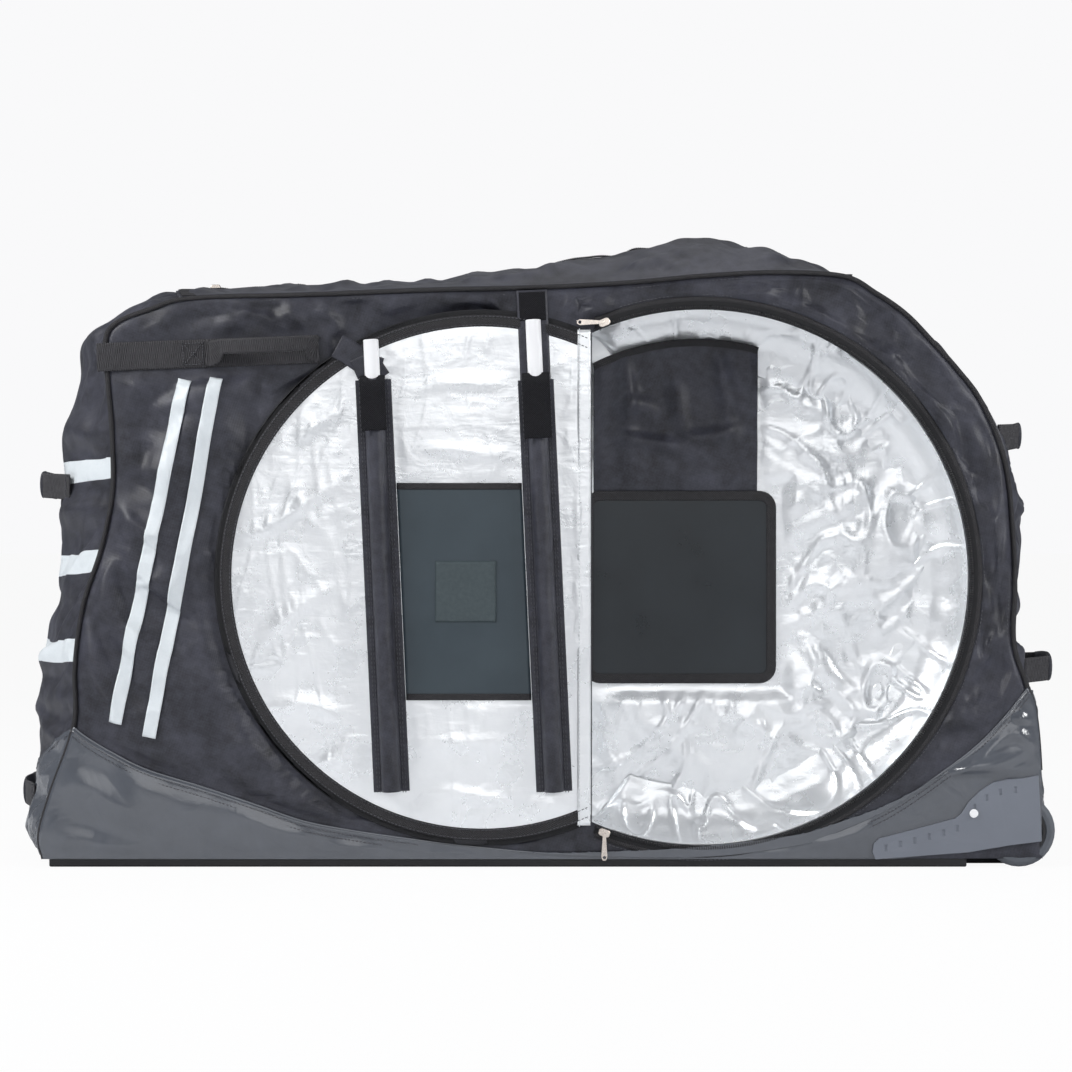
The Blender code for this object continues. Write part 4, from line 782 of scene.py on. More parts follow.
def makeLids():
    t = np.linspace(lidRows[0] - lid["overLeft"], lidRows[1] + lid["overRight"], 150)
    y = np.linspace(-bag["halfWidth"], -0.0006, 56)
    # at its right end it comes down onto the end shell
    rise = bag["lidRise"] - 0.0008 - lid["down"] * smoothstep(t, lidRows[1] - 0.7, lidRows[1] + 0.1)[:, None]
    grid, _, _ = shellGrid(t, y, rise, endFolds["lid"], 61)
    lip = grid[:, :1] + [0, -0.0035, -0.0006]
    grid = np.concatenate([lip, grid], 1)
    for side, place in sides:
        piece = makePiece(side + "_lid_cloth", place(grid), [blackNylon, innerNylon], thick=lid["thick"],
                          away=(0, 0, 0.35), innerMaterial=1)
        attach(piece, side + "_lid")
        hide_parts(side + "_top_flap")
        for end, row in (("left", 3), ("right", -4)):
            path = place(grid[row] + [0, 0, lid["hemLift"]])
            band = flatBand(lid["hemWidth"], lid["hemThick"])
            hem = makeBar(f"{side}_lid_{end}_hem", path, band, (0, 0, 1), darkBinding)
            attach(hem, side + "_lid")
    return grid


ends = makeEnds()
lidGrid = makeLids()
print("end shells and lid made")


piping = {"radius": 0.0032, "depth": 0.1778, "cornerTop": 0.124, "stitchesInside": 0.0085}


def makePiping():
    # a cord sewn into the seam between each side panel and the shells: a round bar along the seam
    t = np.linspace(0, len(outlineShares) - 1, 520)
    seam = seamLine(t)
    path = np.stack([seam[:, 0], np.full(len(t), -piping["depth"]), seam[:, 1]], -1)
    # on the right it ends at the moulded corner
    path = evenly(path[(path[:, 0] < 0) | (path[:, 2] > piping["cornerTop"])], count=520)
    inwards = np.array([0.0, 0, 0.4]) - path * [1, 0, 1]
    inwards *= piping["stitchesInside"] / np.linalg.norm(inwards, axis=1, keepdims=True)
    for side, place in sides:
        run = place(path)
        bar = makeBar(side + "_seam_piping", run, roundBar(piping["radius"]), (0, 1, 0), darkBinding)
        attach(bar, "bag")
        inward = run + inwards
        inward[:, 1] = run[:, 1] + (-0.0006 if side == "near" else 0.0006)
        stitches(side + "_piping_stitches", inward, (0, -1 if side == "near" else 1, 0), darkThread, "bag")


makePiping()


# Pocket: foil wall round the rim, and the divider behind it

pocket = {
    "divider": 0.0790,
    "plateCentre": (0.1845, 0.3660),
    "plateSide": 0.257,
    "clothLeft": 0.068, "clothRight": 0.289, "clothFoot": 0.488, "clothInside": 0.037,
}


def plateCover(x, z, margin):
    half = pocket["plateSide"] / 2
    gap = np.maximum(np.abs(x - pocket["plateCentre"][0]), np.abs(z - pocket["plateCentre"][1])) - half
    return 1 - smoothstep(gap, margin * 0.2, margin)


def clothTop(x):
    # the cloth's upper edge is an arc inside the opening's: z = centre + sqrt(radius^2 - x^2)
    return opening["z"] + np.sqrt((opening["radius"] - pocket["clothInside"]) ** 2 - (x - opening["x"]) ** 2)


def clothCover(x, z):
    # 1 behind the pocket cloth, where the foil lies flat
    gapX = np.maximum(pocket["clothLeft"] - x, x - pocket["clothRight"])
    gap = np.maximum(gapX, np.maximum(pocket["clothFoot"] - z, z - 0.75))
    return 1 - smoothstep(gap, 0.0, 0.02)


def foilRelief(x, z):
    # crushed foil: broad pillows, sharp ridges at two sizes, and long folds away from the plate
    big = 0.0050 * (softNoise(x, z, 0.22, 31) + 0.6)
    mid = 0.0046 * crumple(x, z * 0.8, 0.13, 33, 0.16)
    small = 0.0022 * crumple(x, z, 0.07, 37, 0.25)
    folds = [(0.33, 0.30, 0.45, 0.20, 0.010, 0.006), (0.32, 0.42, 0.46, 0.52, 0.014, 0.006),
             (0.33, 0.36, 0.49, 0.38, 0.010, 0.005), (0.12, 0.21, 0.22, 0.10, 0.014, 0.006),
             (0.24, 0.22, 0.36, 0.12, 0.012, 0.006), (0.08, 0.20, 0.10, 0.08, 0.010, 0.005),
             (0.34, 0.25, 0.42, 0.14, 0.012, 0.007), (0.30, 0.62, 0.42, 0.60, 0.014, 0.006)]
    return big + mid + small + 0.55 * ridges(x, z, folds)


def makeDividers():
    # most of the columns stand where the opening shows them
    rows = len(outlineShares) - 1
    warp = np.interp(np.linspace(0, 1, 250), [0, 0.12, 0.93, 1], [0, 0.37, 0.97, 1])
    left = seamLine(np.linspace(0, 10, 165))
    top = seamLine(np.linspace(10, 23, 1200))
    right = seamLine(np.linspace(rows, 23, 165))
    share = np.linspace(0, 1, 1200)
    even = evenly(top, count=1200)
    top = np.stack([np.interp(warp, share, even[:, i]) for i in range(2)], -1)
    foot = left[0] + (right[0] - left[0]) * warp[:, None]
    plane = coons(foot, top, left, right)
    x, z = plane[..., 0] * 0.970, np.clip(plane[..., 1], 0.0225, 0.80)
    z = 0.0225 + (z - 0.0225) * 0.985
    edge = np.minimum.reduce([x - x.min(), x.max() - x, z - z.min(), z.max() - z])
    lift = foilRelief(x, z) * (1 - plateCover(x, z, 0.03)) * (1 - clothCover(x, z)) * smoothstep(edge, 0, 0.03)
    depth = -(pocket["divider"] - 0.0004 + lift)
    grid = np.stack([x, depth, z], -1)
    for side, shape in (("near", grid), ("far", mirrorFar(coarser(grid)))):
        piece = makePiece(side + "_divider_foil", shape, [silverLining, innerNylon], thick=0.003,
                          away=(0, 0, 0.4), innerMaterial=1)
        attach(piece, "bag")
        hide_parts(side + "_divider")


def makePocketWall():
    # profile from the rim inwards: how far outside the opening's edge, and how deep
    stations = np.array([[-0.0010, 0.1685], [0.0030, 0.1650], [0.0075, 0.156], [0.0080, 0.138], [0.0030, 0.118],
                         [-0.0110, 0.100], [-0.0300, 0.0880], [-0.0520, 0.0845], [-0.0700, 0.0810]])
    centre = np.array([opening["x"], opening["z"]])
    notch = math.acos((opening["hingeX"] - opening["x"]) / opening["radius"])
    turn = np.concatenate([np.linspace(-notch, notch, 430, endpoint=False),
                           np.linspace(notch, 2 * math.pi - notch, 130, endpoint=False)])
    rim = np.full_like(turn, opening["radius"])
    chord = np.cos(turn) < (opening["hingeX"] - opening["x"]) / opening["radius"] + 1e-9
    rim[chord] = (opening["hingeX"] - opening["x"]) / np.cos(turn[chord])
    step = np.linspace(0, len(stations) - 1, 60)
    profile = throughRows(stations, step)
    # behind the hinge edge the wall runs straight in, 3 mm outside it
    straight = smoothstep(np.abs((turn + math.pi) % (2 * math.pi) - math.pi), notch - 0.10, notch - 0.01)[None]
    radius = rim[None] + profile[:, :1] * (1 - straight) + 0.003 * straight
    # slack above, out of sight behind the panel, for the rods to rise into
    above = smoothstep(turn, math.radians(56), math.radians(65)) * smoothstep(-turn, -math.radians(108.3),
                                                                               -math.radians(104.5))
    radius = radius + 0.045 * above[None] * smoothstep(-step, -4.6, -3.4)[:, None]
    inner = smoothstep(step, 0.5, 2.5)[:, None] * smoothstep(-step, -8, -7)[:, None]
    wrinkle = 0.005 * crumple(turn[None] * 0.33, step[:, None] * 0.016, 0.10, 52, 0.13)
    wrinkle = wrinkle + 0.0025 * softNoise(turn[None] * 0.35, step[:, None] * 0.010, 0.10, 55)
    calm = np.where(chord, 0.12, 1.0)[None]
    wrinkle = wrinkle * calm
    radius = radius - wrinkle * inner * 0.7
    x = centre[0] + radius * np.cos(turn)
    z = np.maximum(centre[1] + radius * np.sin(turn), 0.0228)
    y = -(profile[:, 1:] + wrinkle * inner * 0.6) + 0 * turn
    grid = np.stack([x, y, z], -1)
    for side, place in sides:
        shape = grid if side == "near" else place(coarser(grid, aroundU=True))
        piece = makePiece(side + "_pocket_foil", shape, [silverLining], aroundU=True, thick=0.0012,
                          away=place(np.array([opening["x"], -0.6, opening["z"]])))
        piece.data.flip_normals()
        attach(piece, "bag")


def makePocketCloth():
    # the black cloth sewn above the plate: slow folds that hang from its top edge
    x, share = np.meshgrid(np.linspace(pocket["clothLeft"], pocket["clothRight"], 110), np.linspace(0, 1, 96))
    z = pocket["clothFoot"] + (clothTop(x) - pocket["clothFoot"]) * share
    folds = [(0.11, 0.69, 0.12, 0.56, 0.010, 0.006), (0.17, 0.66, 0.20, 0.55, 0.012, 0.005),
             (0.24, 0.69, 0.25, 0.56, 0.010, 0.005), (0.08, 0.58, 0.22, 0.54, 0.010, 0.006),
             (0.18, 0.56, 0.28, 0.585, 0.010, 0.005), (0.10, 0.62, 0.16, 0.60, 0.012, 0.004)]
    edge = np.minimum(x - x.min(), x.max() - x)
    fall = smoothstep(clothTop(x) - z, 0.0, 0.09)
    lift = 0.018 - 0.008 * fall + 1.8 * ridges(x, z, folds) + 0.0025 * fall * softNoise(x, z, 0.06, 71)
    lift = lift * (0.75 + 0.25 * smoothstep(edge, 0, 0.012)) * (0.12 + 0.88 * smoothstep(z, 0.488, 0.530))
    grid = np.stack([x, -(pocket["divider"] + lift), z], -1)
    for side, place in sides:
        piece = makePiece(side + "_pocket_cloth", place(grid), [blackNylon], thick=0.0012, away=(0, 0, 0.4))
        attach(piece, "bag")
        hem = makeBar(side + "_pocket_cloth_hem", place(grid[-1]), flatBand(0.010, 0.0022), (0, 1, 0), darkBinding)
        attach(hem, "bag")


def makePlateEdges():
    # binding tape folded round the pocket plate: a flat band along a square with round corners
    half, corner = pocket["plateSide"] / 2 - 0.005, 0.016
    turn = np.linspace(0, math.pi / 2, 9)
    loop = np.concatenate([
        np.stack([cx + corner * np.cos(turn + a), cz + corner * np.sin(turn + a)], -1)
        for cx, cz, a in ((half - corner, half - corner, 0), (corner - half, half - corner, math.pi / 2),
                          (corner - half, corner - half, math.pi), (half - corner, corner - half, 1.5 * math.pi))])
    loop = evenly(np.vstack([loop, loop[:1]]) + pocket["plateCentre"], count=241)[:-1]
    path = withDepth(loop, -0.0829)
    for side, place in sides:
        ring = carryAlong(place(path), flatBand(0.013, 0.0018), (0, 1, 0), closed=True)
        band = makePiece(side + "_plate_binding", ring, darkBinding, aroundU=True, aroundV=True)
        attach(band, "bag")


makeDividers()
makePocketWall()
makePocketCloth()
makePlateEdges()
print("pocket made")


# Skirts

skirt = {
    "face": 0.1812,
    "thick": 0.0011,
    "folds": [
        (0.500, 0.118, 0.650, 0.152, 0.011, 0.011), (0.480, 0.112, 0.630, 0.185, 0.012, 0.006),
        (0.560, 0.118, 0.650, 0.132, 0.006, 0.007), (0.440, 0.062, 0.555, 0.092, 0.013, 0.009),
        (0.590, 0.206, 0.645, 0.192, 0.006, 0.009), (0.300, 0.030, 0.440, 0.050, 0.010, 0.003),
        (0.610, 0.180, 0.650, 0.160, 0.008, 0.006),
        (-0.640, 0.120, -0.500, 0.060, 0.018, 0.004), (-0.560, 0.150, -0.440, 0.040, 0.020, 0.003),
        (-0.420, 0.090, -0.300, 0.030, 0.016, 0.003), (-0.640, 0.040, -0.520, 0.020, 0.012, 0.002)],
}


def skirtEdges():
    shares = throughRows(skirtShares, np.linspace(0, len(skirtShares) - 1, 320))
    top = evenly(asPlace(shares), count=320)
    rows = np.linspace(0, len(outlineShares) - 1, 4000)
    seam = seamLine(rows)
    leftRow = rows[np.argmin(np.linalg.norm(seam - top[0], axis=1))]
    rightRow = rows[np.argmin(np.linalg.norm(seam - top[-1], axis=1))]
    left = seamLine(np.linspace(0, leftRow, 40))
    right = seamLine(np.linspace(len(outlineShares) - 1, rightRow, 40))
    top = top + (left[-1] - top[0]) * np.linspace(1, 0, 320)[:, None] ** 6
    top = top + (right[-1] - top[-1]) * np.linspace(0, 1, 320)[:, None] ** 6
    foot = np.linspace(left[0], right[0], 320)
    raised = 0.024 * smoothstep(foot[:, 0], 0.45, 0.62)
    foot[:, 1] += raised
    right[:, 1] += raised[-1] * np.linspace(1, 0, 40)
    return foot, top, left, right, leftRow, rightRow


def makeSkirts():
    foot, top, left, right, leftRow, rightRow = skirtEdges()
    plane = coons(foot, top, left, right)
    x, z = plane[..., 0], plane[..., 1]
    room = np.minimum(z - 0.011, top[None, :, 1] - z)
    side = np.minimum(x - left[:, :1], right[:, :1] - x)
    cover = smoothstep(room, 0.0, 0.02) * smoothstep(side, 0.0, 0.02)
    lift = ridges(x, z, skirt["folds"]) + 0.0012 * softNoise(x, z, 0.09, 81) + 0.0012
    lift = lift * cover
    # the moulded corner covers this part, so the cloth lies flat under it
    lift = lift * (1 - smoothstep(x, 0.42, 0.44) * smoothstep(-z, -0.135, -0.115))
    grid = np.stack([x, -(skirt["face"] + 0.0011 + lift), z], -1)
    hemLine = np.stack([top[:, 0], np.full(320, -(skirt["face"] + 0.0003)), top[:, 1]], -1)
    for sideName, place in sides:
        piece = makePiece(sideName + "_skirt_sheet", place(grid), [greyTarpaulin], thick=skirt["thick"],
                          away=(0, 0, 0.1))
        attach(piece, "bag")
        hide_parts(sideName + "_skirt")
        hem = makeBar(sideName + "_skirt_hem", place(hemLine), roundBar(0.0024, 0.0007), (0, 1, 0), greyTarpaulin)
        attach(hem, "bag")
        for number, drop in ((1, 0.0050), (2, 0.0115)):
            line = evenly(hemLine - [0, 0.0014, drop], 0.006)
            line = line[line[:, 2] > 0.030]
            parts = [line[line[:, 0] < 0.0], line[line[:, 0] > 0.2]]
            for part, half in zip(parts, ("left", "right")):
                stitches(f"{sideName}_skirt_stitches_{half}_{number}", place(part),
                         (0, -1 if sideName == "near" else 1, 0), darkThread, "bag")
    return leftRow, rightRow


footSheet = {"proud": 0.0024, "thick": 0.0012, "dip": 0.28}


def makeFeet(leftRow, rightRow):
    # the tarpaulin goes on round both ends: the settled shell again, 2.4 mm proud, up to an edge that dips in
    # the middle
    last = len(outlineShares) - 1
    for name, low, high in (("left", 0.0, leftRow), ("right", last, rightRow)):
        shell, t = ends[name]
        y = np.linspace(-bag["halfWidth"], bag["halfWidth"], shell.shape[1])
        dip = 1 - (np.abs(y) / bag["halfWidth"]) ** 2
        share = np.linspace(0, 1, 60)
        reach = high + (low - high) * footSheet["dip"] * dip
        rows = low + (reach[None] - low) * share[:, None]
        columns = [np.stack([np.interp(rows[:, k], t, shell[:, k, axis]) for axis in range(3)], -1)
                   for k in range(shell.shape[1])]
        grid = np.stack(columns, 1)
        outward = -1 if name == "left" else 1
        grid[..., 0] += outward * footSheet["proud"]
        grid[:, [0, -1], 1] *= 1.004
        grid[..., 2] = np.maximum(grid[..., 2], 0.0012)
        piece = makePiece(name + "_foot_sheet", grid, [greyTarpaulin], thick=footSheet["thick"],
                          away=(0, 0, 0.1))
        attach(piece, "bag")
        edge = evenly(grid[-2] + [outward * 0.0004, 0, -0.004], 0.006)
        stitches(name + "_foot_stitches", edge, (outward, 0, 0.0), darkThread, "bag")


makeFeet(*makeSkirts())
print("skirts made")


# Round flaps

flap = {
    "reach": 0.3514,
    "bindingInner": 0.3290,
    "bindingOuter": 0.3440,
    "plateLow": 0.2243, "plateHigh": 0.5001,
    "sleeves": (-0.2108, 0.0020),
    "leanDegrees": 2.6,
    "sleeveFoot": 0.1006, "sleeveMiddle": 0.3701, "sleeveTop": 0.6396,
}


def flapOutline(reach, hinge, count=160):
    # a circle cut straight at the hinge: arc from the lower to the upper end, then the chord
    centre = np.array([opening["flapX"], opening["z"]])
    notch = math.acos((hinge - centre[0]) / reach)
    turn = np.linspace(notch, 2 * math.pi - notch, count)
    return np.stack([centre[0] + reach * np.cos(turn), centre[1] + reach * np.sin(turn)], -1)


def flapPatch(reach, hinge):
    # the same outline filled with a patch: three arcs between corners on the circle, and the hinge's chord
    centre = np.array([opening["flapX"], opening["z"]])
    notch = math.acos((hinge - centre[0]) / reach)
    corner, count = math.radians(132), 150

    def arc(a, b):
        turn = np.linspace(a, b, count)
        return np.stack([centre[0] + reach * np.cos(turn), centre[1] + reach * np.sin(turn)], -1)

    bottom = arc(-corner, -notch)
    top = arc(corner, notch)
    left = arc(2 * math.pi - corner, corner)
    right = np.linspace(bottom[-1], top[-1], count)
    return coons(bottom, top, left, right)


def sleeveX(which, z):
    # the sleeve's middle line leans to the left as it rises
    lean = math.tan(math.radians(flap["leanDegrees"]))
    return flap["sleeves"][which] - (z - flap["sleeveMiddle"]) * lean


def flapFlat(x, z):
    # 1 where something is sewn on: plate and sleeves
    margin = 0.02
    flat = smoothstep(-np.abs(z - 0.3622), -0.138 - margin, -0.138) * smoothstep(x, -0.22, -0.20)
    flat = flat * smoothstep(-x, -0.01, 0.01)
    for which in (0, 1):
        gap = np.abs(x - sleeveX(which, z))
        flat = np.maximum(flat, smoothstep(-gap, -0.024 - margin, -0.024) * smoothstep(z, 0.08, 0.10)
                          * smoothstep(-z, -0.66, -0.64))
    return flat


def flapLift(x, z):
    edge = flap["bindingInner"] - np.hypot(x - opening["flapX"], z - opening["z"])
    edge = np.minimum(edge + 0.006, 0.0626 - x)
    body = 0.0010 * (softNoise(x * 1.6, z, 0.15, 101) + 0.8)
    creases = 0.0014 * crumple(x * 2.2, z * 0.6, 0.12, 105, 0.13)
    creases = creases + 0.0009 * crumple(x * 0.6, z * 1.8, 0.08, 109, 0.14)
    folds = [(-0.41, 0.42, -0.24, 0.52, 0.010, 0.003), (-0.38, 0.30, -0.26, 0.38, 0.010, 0.003),
             (-0.36, 0.22, -0.25, 0.20, 0.012, 0.004), (-0.17, 0.63, -0.03, 0.64, 0.008, 0.003),
             (-0.17, 0.55, -0.03, 0.54, 0.008, 0.003), (-0.17, 0.16, -0.02, 0.17, 0.010, 0.003),
             (-0.16, 0.10, -0.02, 0.09, 0.008, 0.003), (0.048, 0.60, 0.050, 0.20, 0.006, 0.0025),
             (-0.33, 0.55, -0.25, 0.62, 0.010, 0.003), (-0.30, 0.12, -0.25, 0.17, 0.010, 0.003)]
    lift = 0.7 * (body + creases + ridges(x, z, folds))
    return lift * smoothstep(edge, 0.0, 0.02) * (1 - flapFlat(x, z))


def makeFlap(side):
    body = side + "_flap"
    place = keep if side == "near" else closedFlap
    inside = place(np.array([-0.08, 0.5, 0.38]))
    shift = -1 if side == "near" else 1

    # foil face
    plane = flapPatch(flap["reach"] - 0.010, 0.0620)
    x, z = plane[..., 0], plane[..., 1]
    grid = np.stack([x, -(0.18585 + flapLift(x, z)), z], -1)
    shape = grid if side == "near" else place(coarser(grid))
    foil = makePiece(side + "_flap_foil", shape, [silverLining], thick=0.0010, away=inside)
    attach(foil, body)
    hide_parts(side + "_flap_panel")

    # outer cloth, padded: a slow crown between the edges
    plane = flapPatch(flap["reach"] - 0.001, 0.0626)
    x, z = plane[..., 0], plane[..., 1]
    edge = flap["reach"] - np.hypot(x - opening["flapX"], z - opening["z"])
    cover = smoothstep(np.minimum(edge, 0.0626 - x), 0.004, 0.05)
    crown = cover * (0.0014 + 0.0012 * softNoise(x, z, 0.16, 120))
    grid = coarser(np.stack([x, -(0.1810 - crown), z], -1))
    outside = place(np.array([-0.08, -0.9, 0.38]))
    cloth = makePiece(side + "_flap_cloth", place(grid), [blackNylon, innerNylon], thick=0.0035, away=outside,
                      innerMaterial=1, cutFlat=True)
    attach(cloth, body)

    # binding folded over the edge, then the zip half outside it
    middle = (flap["bindingInner"] + flap["bindingOuter"]) / 2
    arc = withDepth(flapOutline(middle, 0.0560, 420), -0.1858)
    arc[:, 1] += 0.0002 * np.sin(np.linspace(0, 260, 420))
    binding = makeBar(side + "_flap_binding", place(arc), flatBand(0.0155, 0.0028, 11), (0, 1, 0), darkBinding)
    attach(binding, body)
    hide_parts(side + "_flap_zip")
    tape = withDepth(flapOutline(0.3465, 0.0600, 420), -0.1838)
    tapePiece = makeBar(side + "_flap_zip_tape", place(tape), flatBand(0.0095, 0.0014), (0, 1, 0), zipTape)
    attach(tapePiece, body)
    line = evenly(place(withDepth(flapOutline(0.3480, 0.0560, 420), -0.1838)), 0.0030)
    tangent, _, raised = frames(line, (0, 1, 0))
    shape, faces = toothShape(0.0019, 0.0042, 0.0014)
    shape = np.asarray(shape) - [0, 0, 0.0005]
    teeth = repeated(side + "_flap_teeth", shape, faces, line, tangent, raised * shift * -1, zipTeeth)
    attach(teeth, body)
    for number, radius in ((1, 0.3308), (2, 0.3422)):
        stitches(f"{side}_flap_stitches_{number}", place(withDepth(flapOutline(radius, 0.0560, 420), -0.1873)),
                 (0, -1, 0), darkThread, body, pitch=0.005, length=0.0036)

    # hinge edge: the foil is folded over and sewn down in two rows, of which one row of stitches is drawn
    hingeLine = np.stack([np.full(120, 0.0530), np.full(120, -0.18665), np.linspace(0.0560, 0.7050, 120)], -1)
    hem = makeBar(side + "_flap_hinge_hem", place(hingeLine), flatBand(0.017, 0.0016), (0, 1, 0), silverLining)
    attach(hem, body)
    stitches(side + "_flap_hinge_stitches", place(hingeLine - [0.006, 0.0009, 0]), (0, -1, 0), paleThread, body)


for sideName in ("near", "far"):
    makeFlap(sideName)
print("flaps made")


plateSheet = {"face": 0.1882, "thick": 0.0018, "bow": 0.0010, "besideSleeve": 0.0245, "edgeWidth": 0.0085}
castSquare = {"half": 0.0400, "centre": (-0.1016, 0.3622), "face": 0.18935, "rise": 0.0017, "grain": 0.00025}


def makePlate(side):
    # stiff sheet between the sleeves, its upper and lower edges bound
    body = side + "_flap"
    place = keep if side == "near" else closedFlap
    inside = place(np.array([-0.08, 0.5, 0.38]))
    z = np.linspace(flap["plateLow"], flap["plateHigh"], 60)[:, None]
    share = np.linspace(0, 1, 40)[None]
    left = sleeveX(0, z) + plateSheet["besideSleeve"]
    right = sleeveX(1, z) - plateSheet["besideSleeve"]
    x = left + (right - left) * share
    height = (z - flap["plateLow"]) / (flap["plateHigh"] - flap["plateLow"])
    bow = plateSheet["bow"] * np.sin(share * math.pi) * np.sin(height * math.pi)
    grid = np.stack([x, -(plateSheet["face"] + bow), z + 0 * x], -1)
    plate = makePiece(side + "_plate_sheet", place(grid), [darkPlate], thick=plateSheet["thick"], away=inside)
    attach(plate, body)
    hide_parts(side + "_flap_plate")
    for name, row in (("foot", 0), ("top", -1)):
        path = evenly(grid[row] - [0, 0.0004, 0], count=40)
        band = flatBand(plateSheet["edgeWidth"], 0.0022)
        strip = makeBar(f"{side}_plate_{name}_strip", place(path), band, (0, 1, 0), darkBinding)
        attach(strip, body)
    if side == "near":
        half, centre = castSquare["half"], castSquare["centre"]
        u = np.linspace(-1, 1, 41)
        px, pz = np.meshgrid(u, u)
        edge = np.minimum(1 - np.abs(px), 1 - np.abs(pz)) * half
        rise = castSquare["rise"] * smoothstep(edge, 0, 0.0025)
        rise = rise + castSquare["grain"] * softNoise(px * half, pz * half, 0.02, 130)
        pad = np.stack([centre[0] + px * half, -(castSquare["face"] + rise), centre[1] + pz * half], -1)
        piece = makePiece("near_pad_sheet", pad, [castPad], thick=0.0016, away=inside)
        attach(piece, body)
        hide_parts("near_flap_pad")


sleeve = {"tubeHalf": 0.0131, "depth": 0.0245, "half": 0.0235, "face": 0.1861, "thick": 0.0010}


def sleeveProfile():
    # flange, half round tube, flange: points across, and how far each stands off the foil
    tubeHalf, depth, half = sleeve["tubeHalf"], sleeve["depth"], sleeve["half"]
    turn = np.linspace(math.pi, 0, 21)
    tube = np.stack([tubeHalf * np.cos(turn), 0.0016 + (depth - 0.0016) * np.sin(turn) ** 0.8], -1)
    flangeL = np.stack([np.linspace(-half, -tubeHalf - 0.0012, 7), np.full(7, 0.0016)], -1)
    return np.vstack([flangeL, tube, flangeL[::-1] * [-1, 1]])


def makeSleeve(side, which, name):
    body = side + "_flap"
    place = keep if side == "near" else closedFlap
    inside = place(np.array([-0.08, 0.5, 0.38]))
    rising = np.linspace(flap["sleeveFoot"] + 0.0006, flap["sleeveTop"], 150)
    z = np.concatenate([[flap["sleeveFoot"]] * 2, rising])
    profile = sleeveProfile()
    axis = np.stack([sleeveX(which, z), z], -1)
    across = profile[None, :, 0] + 0 * z[:, None]
    off = profile[None, :, 1] + 0 * z[:, None]
    tube = np.abs(profile[:, 0]) < 0.0132
    off[0] = 0.0006
    off[1] = np.where(tube, 0.0016, profile[:, 1])
    wave = 0.0009 * softNoise(across * 1.5, z[:, None] * 0.6, 0.035, 140 + which) * (off > 0.004)
    lean = math.radians(flap["leanDegrees"])
    x = axis[:, :1] + across * math.cos(lean)
    zed = z[:, None] + across * math.sin(lean)
    grid = np.stack([x, -(sleeve["face"] + off + wave - 0.0002), zed], -1)
    cloth = makePiece(f"{side}_sleeve_cloth_{name}", place(grid), [blackNylon, innerNylon], thick=sleeve["thick"],
                      away=inside, innerMaterial=1)
    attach(cloth, body)
    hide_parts(f"{side}_sleeve_{name}")
    for number, offset in ((1, -0.0185), (2, 0.0185), (3, -0.0150), (4, 0.0150)):
        line = np.stack([sleeveX(which, z[2:]) + offset, np.full(150, -0.18775), z[2:]], -1)
        stitches(f"{side}_sleeve_stitches_{name}_{number}", place(line), (0, -1, 0), darkThread, body, pitch=0.006)
    return grid


def makeTab(name, path, cut, body, patchFrom, patchTo, replaces=None):
    # a strip of cloth along a given path, and a patch of hook tape over part of its length
    path = evenly(np.asarray(path, float), count=60)
    width = cut[0]
    strip = makeBar(name, path, flatBand(width, 0.0010, 11), (0, -1, 0), blackNylon)
    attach(strip, body)
    if replaces:
        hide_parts(replaces)
    if patchTo > patchFrom:
        part = path[int(patchFrom * 59):int(patchTo * 59) + 1] - [0, 0.0008, 0]
        patch = makeBar(name + "_patch", part, flatBand(width * 0.86, 0.0008, 15), (0, -1, 0), hookTape)
        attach(patch, body)
    return strip


def makeTabs():
    # right tab: sewn under the rod's end, standing up behind it; left tab: folded over to the left
    right = [(sleeveX(1, 0.60) - 0.001, -0.1870, 0.600), (sleeveX(1, 0.66), -0.1869, 0.660),
             (sleeveX(1, 0.72), -0.1869, 0.720), (sleeveX(1, 0.757), -0.1869, 0.757)]
    makeTab("near_tab_right_cloth", right, (0.040, 0.157), "near_flap", 0.76, 0.99, "near_tab_right")
    for which, name, low, high in ((0, "left", 0.572, 0.639), (1, "right", 0.562, 0.643)):
        z = np.linspace(high + 0.004, low, 9)
        x = sleeveX(which, z)
        y = np.full(9, -0.1861 - 0.0262)
        y[0] += 0.010
        y[1] += 0.001
        path = np.stack([x, y, z], -1)
        path = evenly(path, count=40)
        wave = 0.0008 * np.sin(np.linspace(0, 9, 40))
        path[:, 1] -= wave
        width = 0.033 if which == 0 else 0.036
        patch = makeBar(f"near_hook_patch_{name}", path, flatBand(width, 0.0030, 15), (0, -1, 0), hookTape)
        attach(patch, "near_flap")
    left = [(-0.2150, -0.1876, 0.640), (-0.2230, -0.1885, 0.652), (-0.2380, -0.1905, 0.664),
            (-0.2550, -0.1895, 0.676), (-0.2700, -0.1880, 0.684)]
    makeTab("near_tab_left_cloth", left, (0.032, 0.071), "near_flap", 0.0, 0.0, "near_tab_left")
    fold = [(-0.2120, -0.1900, 0.655), (-0.2300, -0.1930, 0.660), (-0.2480, -0.1925, 0.652)]
    makeTab("near_tab_left_fold", fold, (0.026, 0.0435), "near_flap", 0.0, 0.0)


for sideName in ("near", "far"):
    makePlate(sideName)
    makeSleeve(sideName, 0, "left")
    makeSleeve(sideName, 1, "right")
makeTabs()
print("plates, sleeves and tabs made")


# Zip round each opening

# radii round the opening's centre, the depth of each row, and the teeth's spacing
zipRound = {"tape": 0.3578, "teeth": 0.3545, "cover": 0.3650, "stitches": 0.3708, "pitch": 0.0030,
            "tapeDepth": 0.1815, "teethDepth": 0.1822, "coverDepth": 0.1812, "stitchDepth": 0.1806}


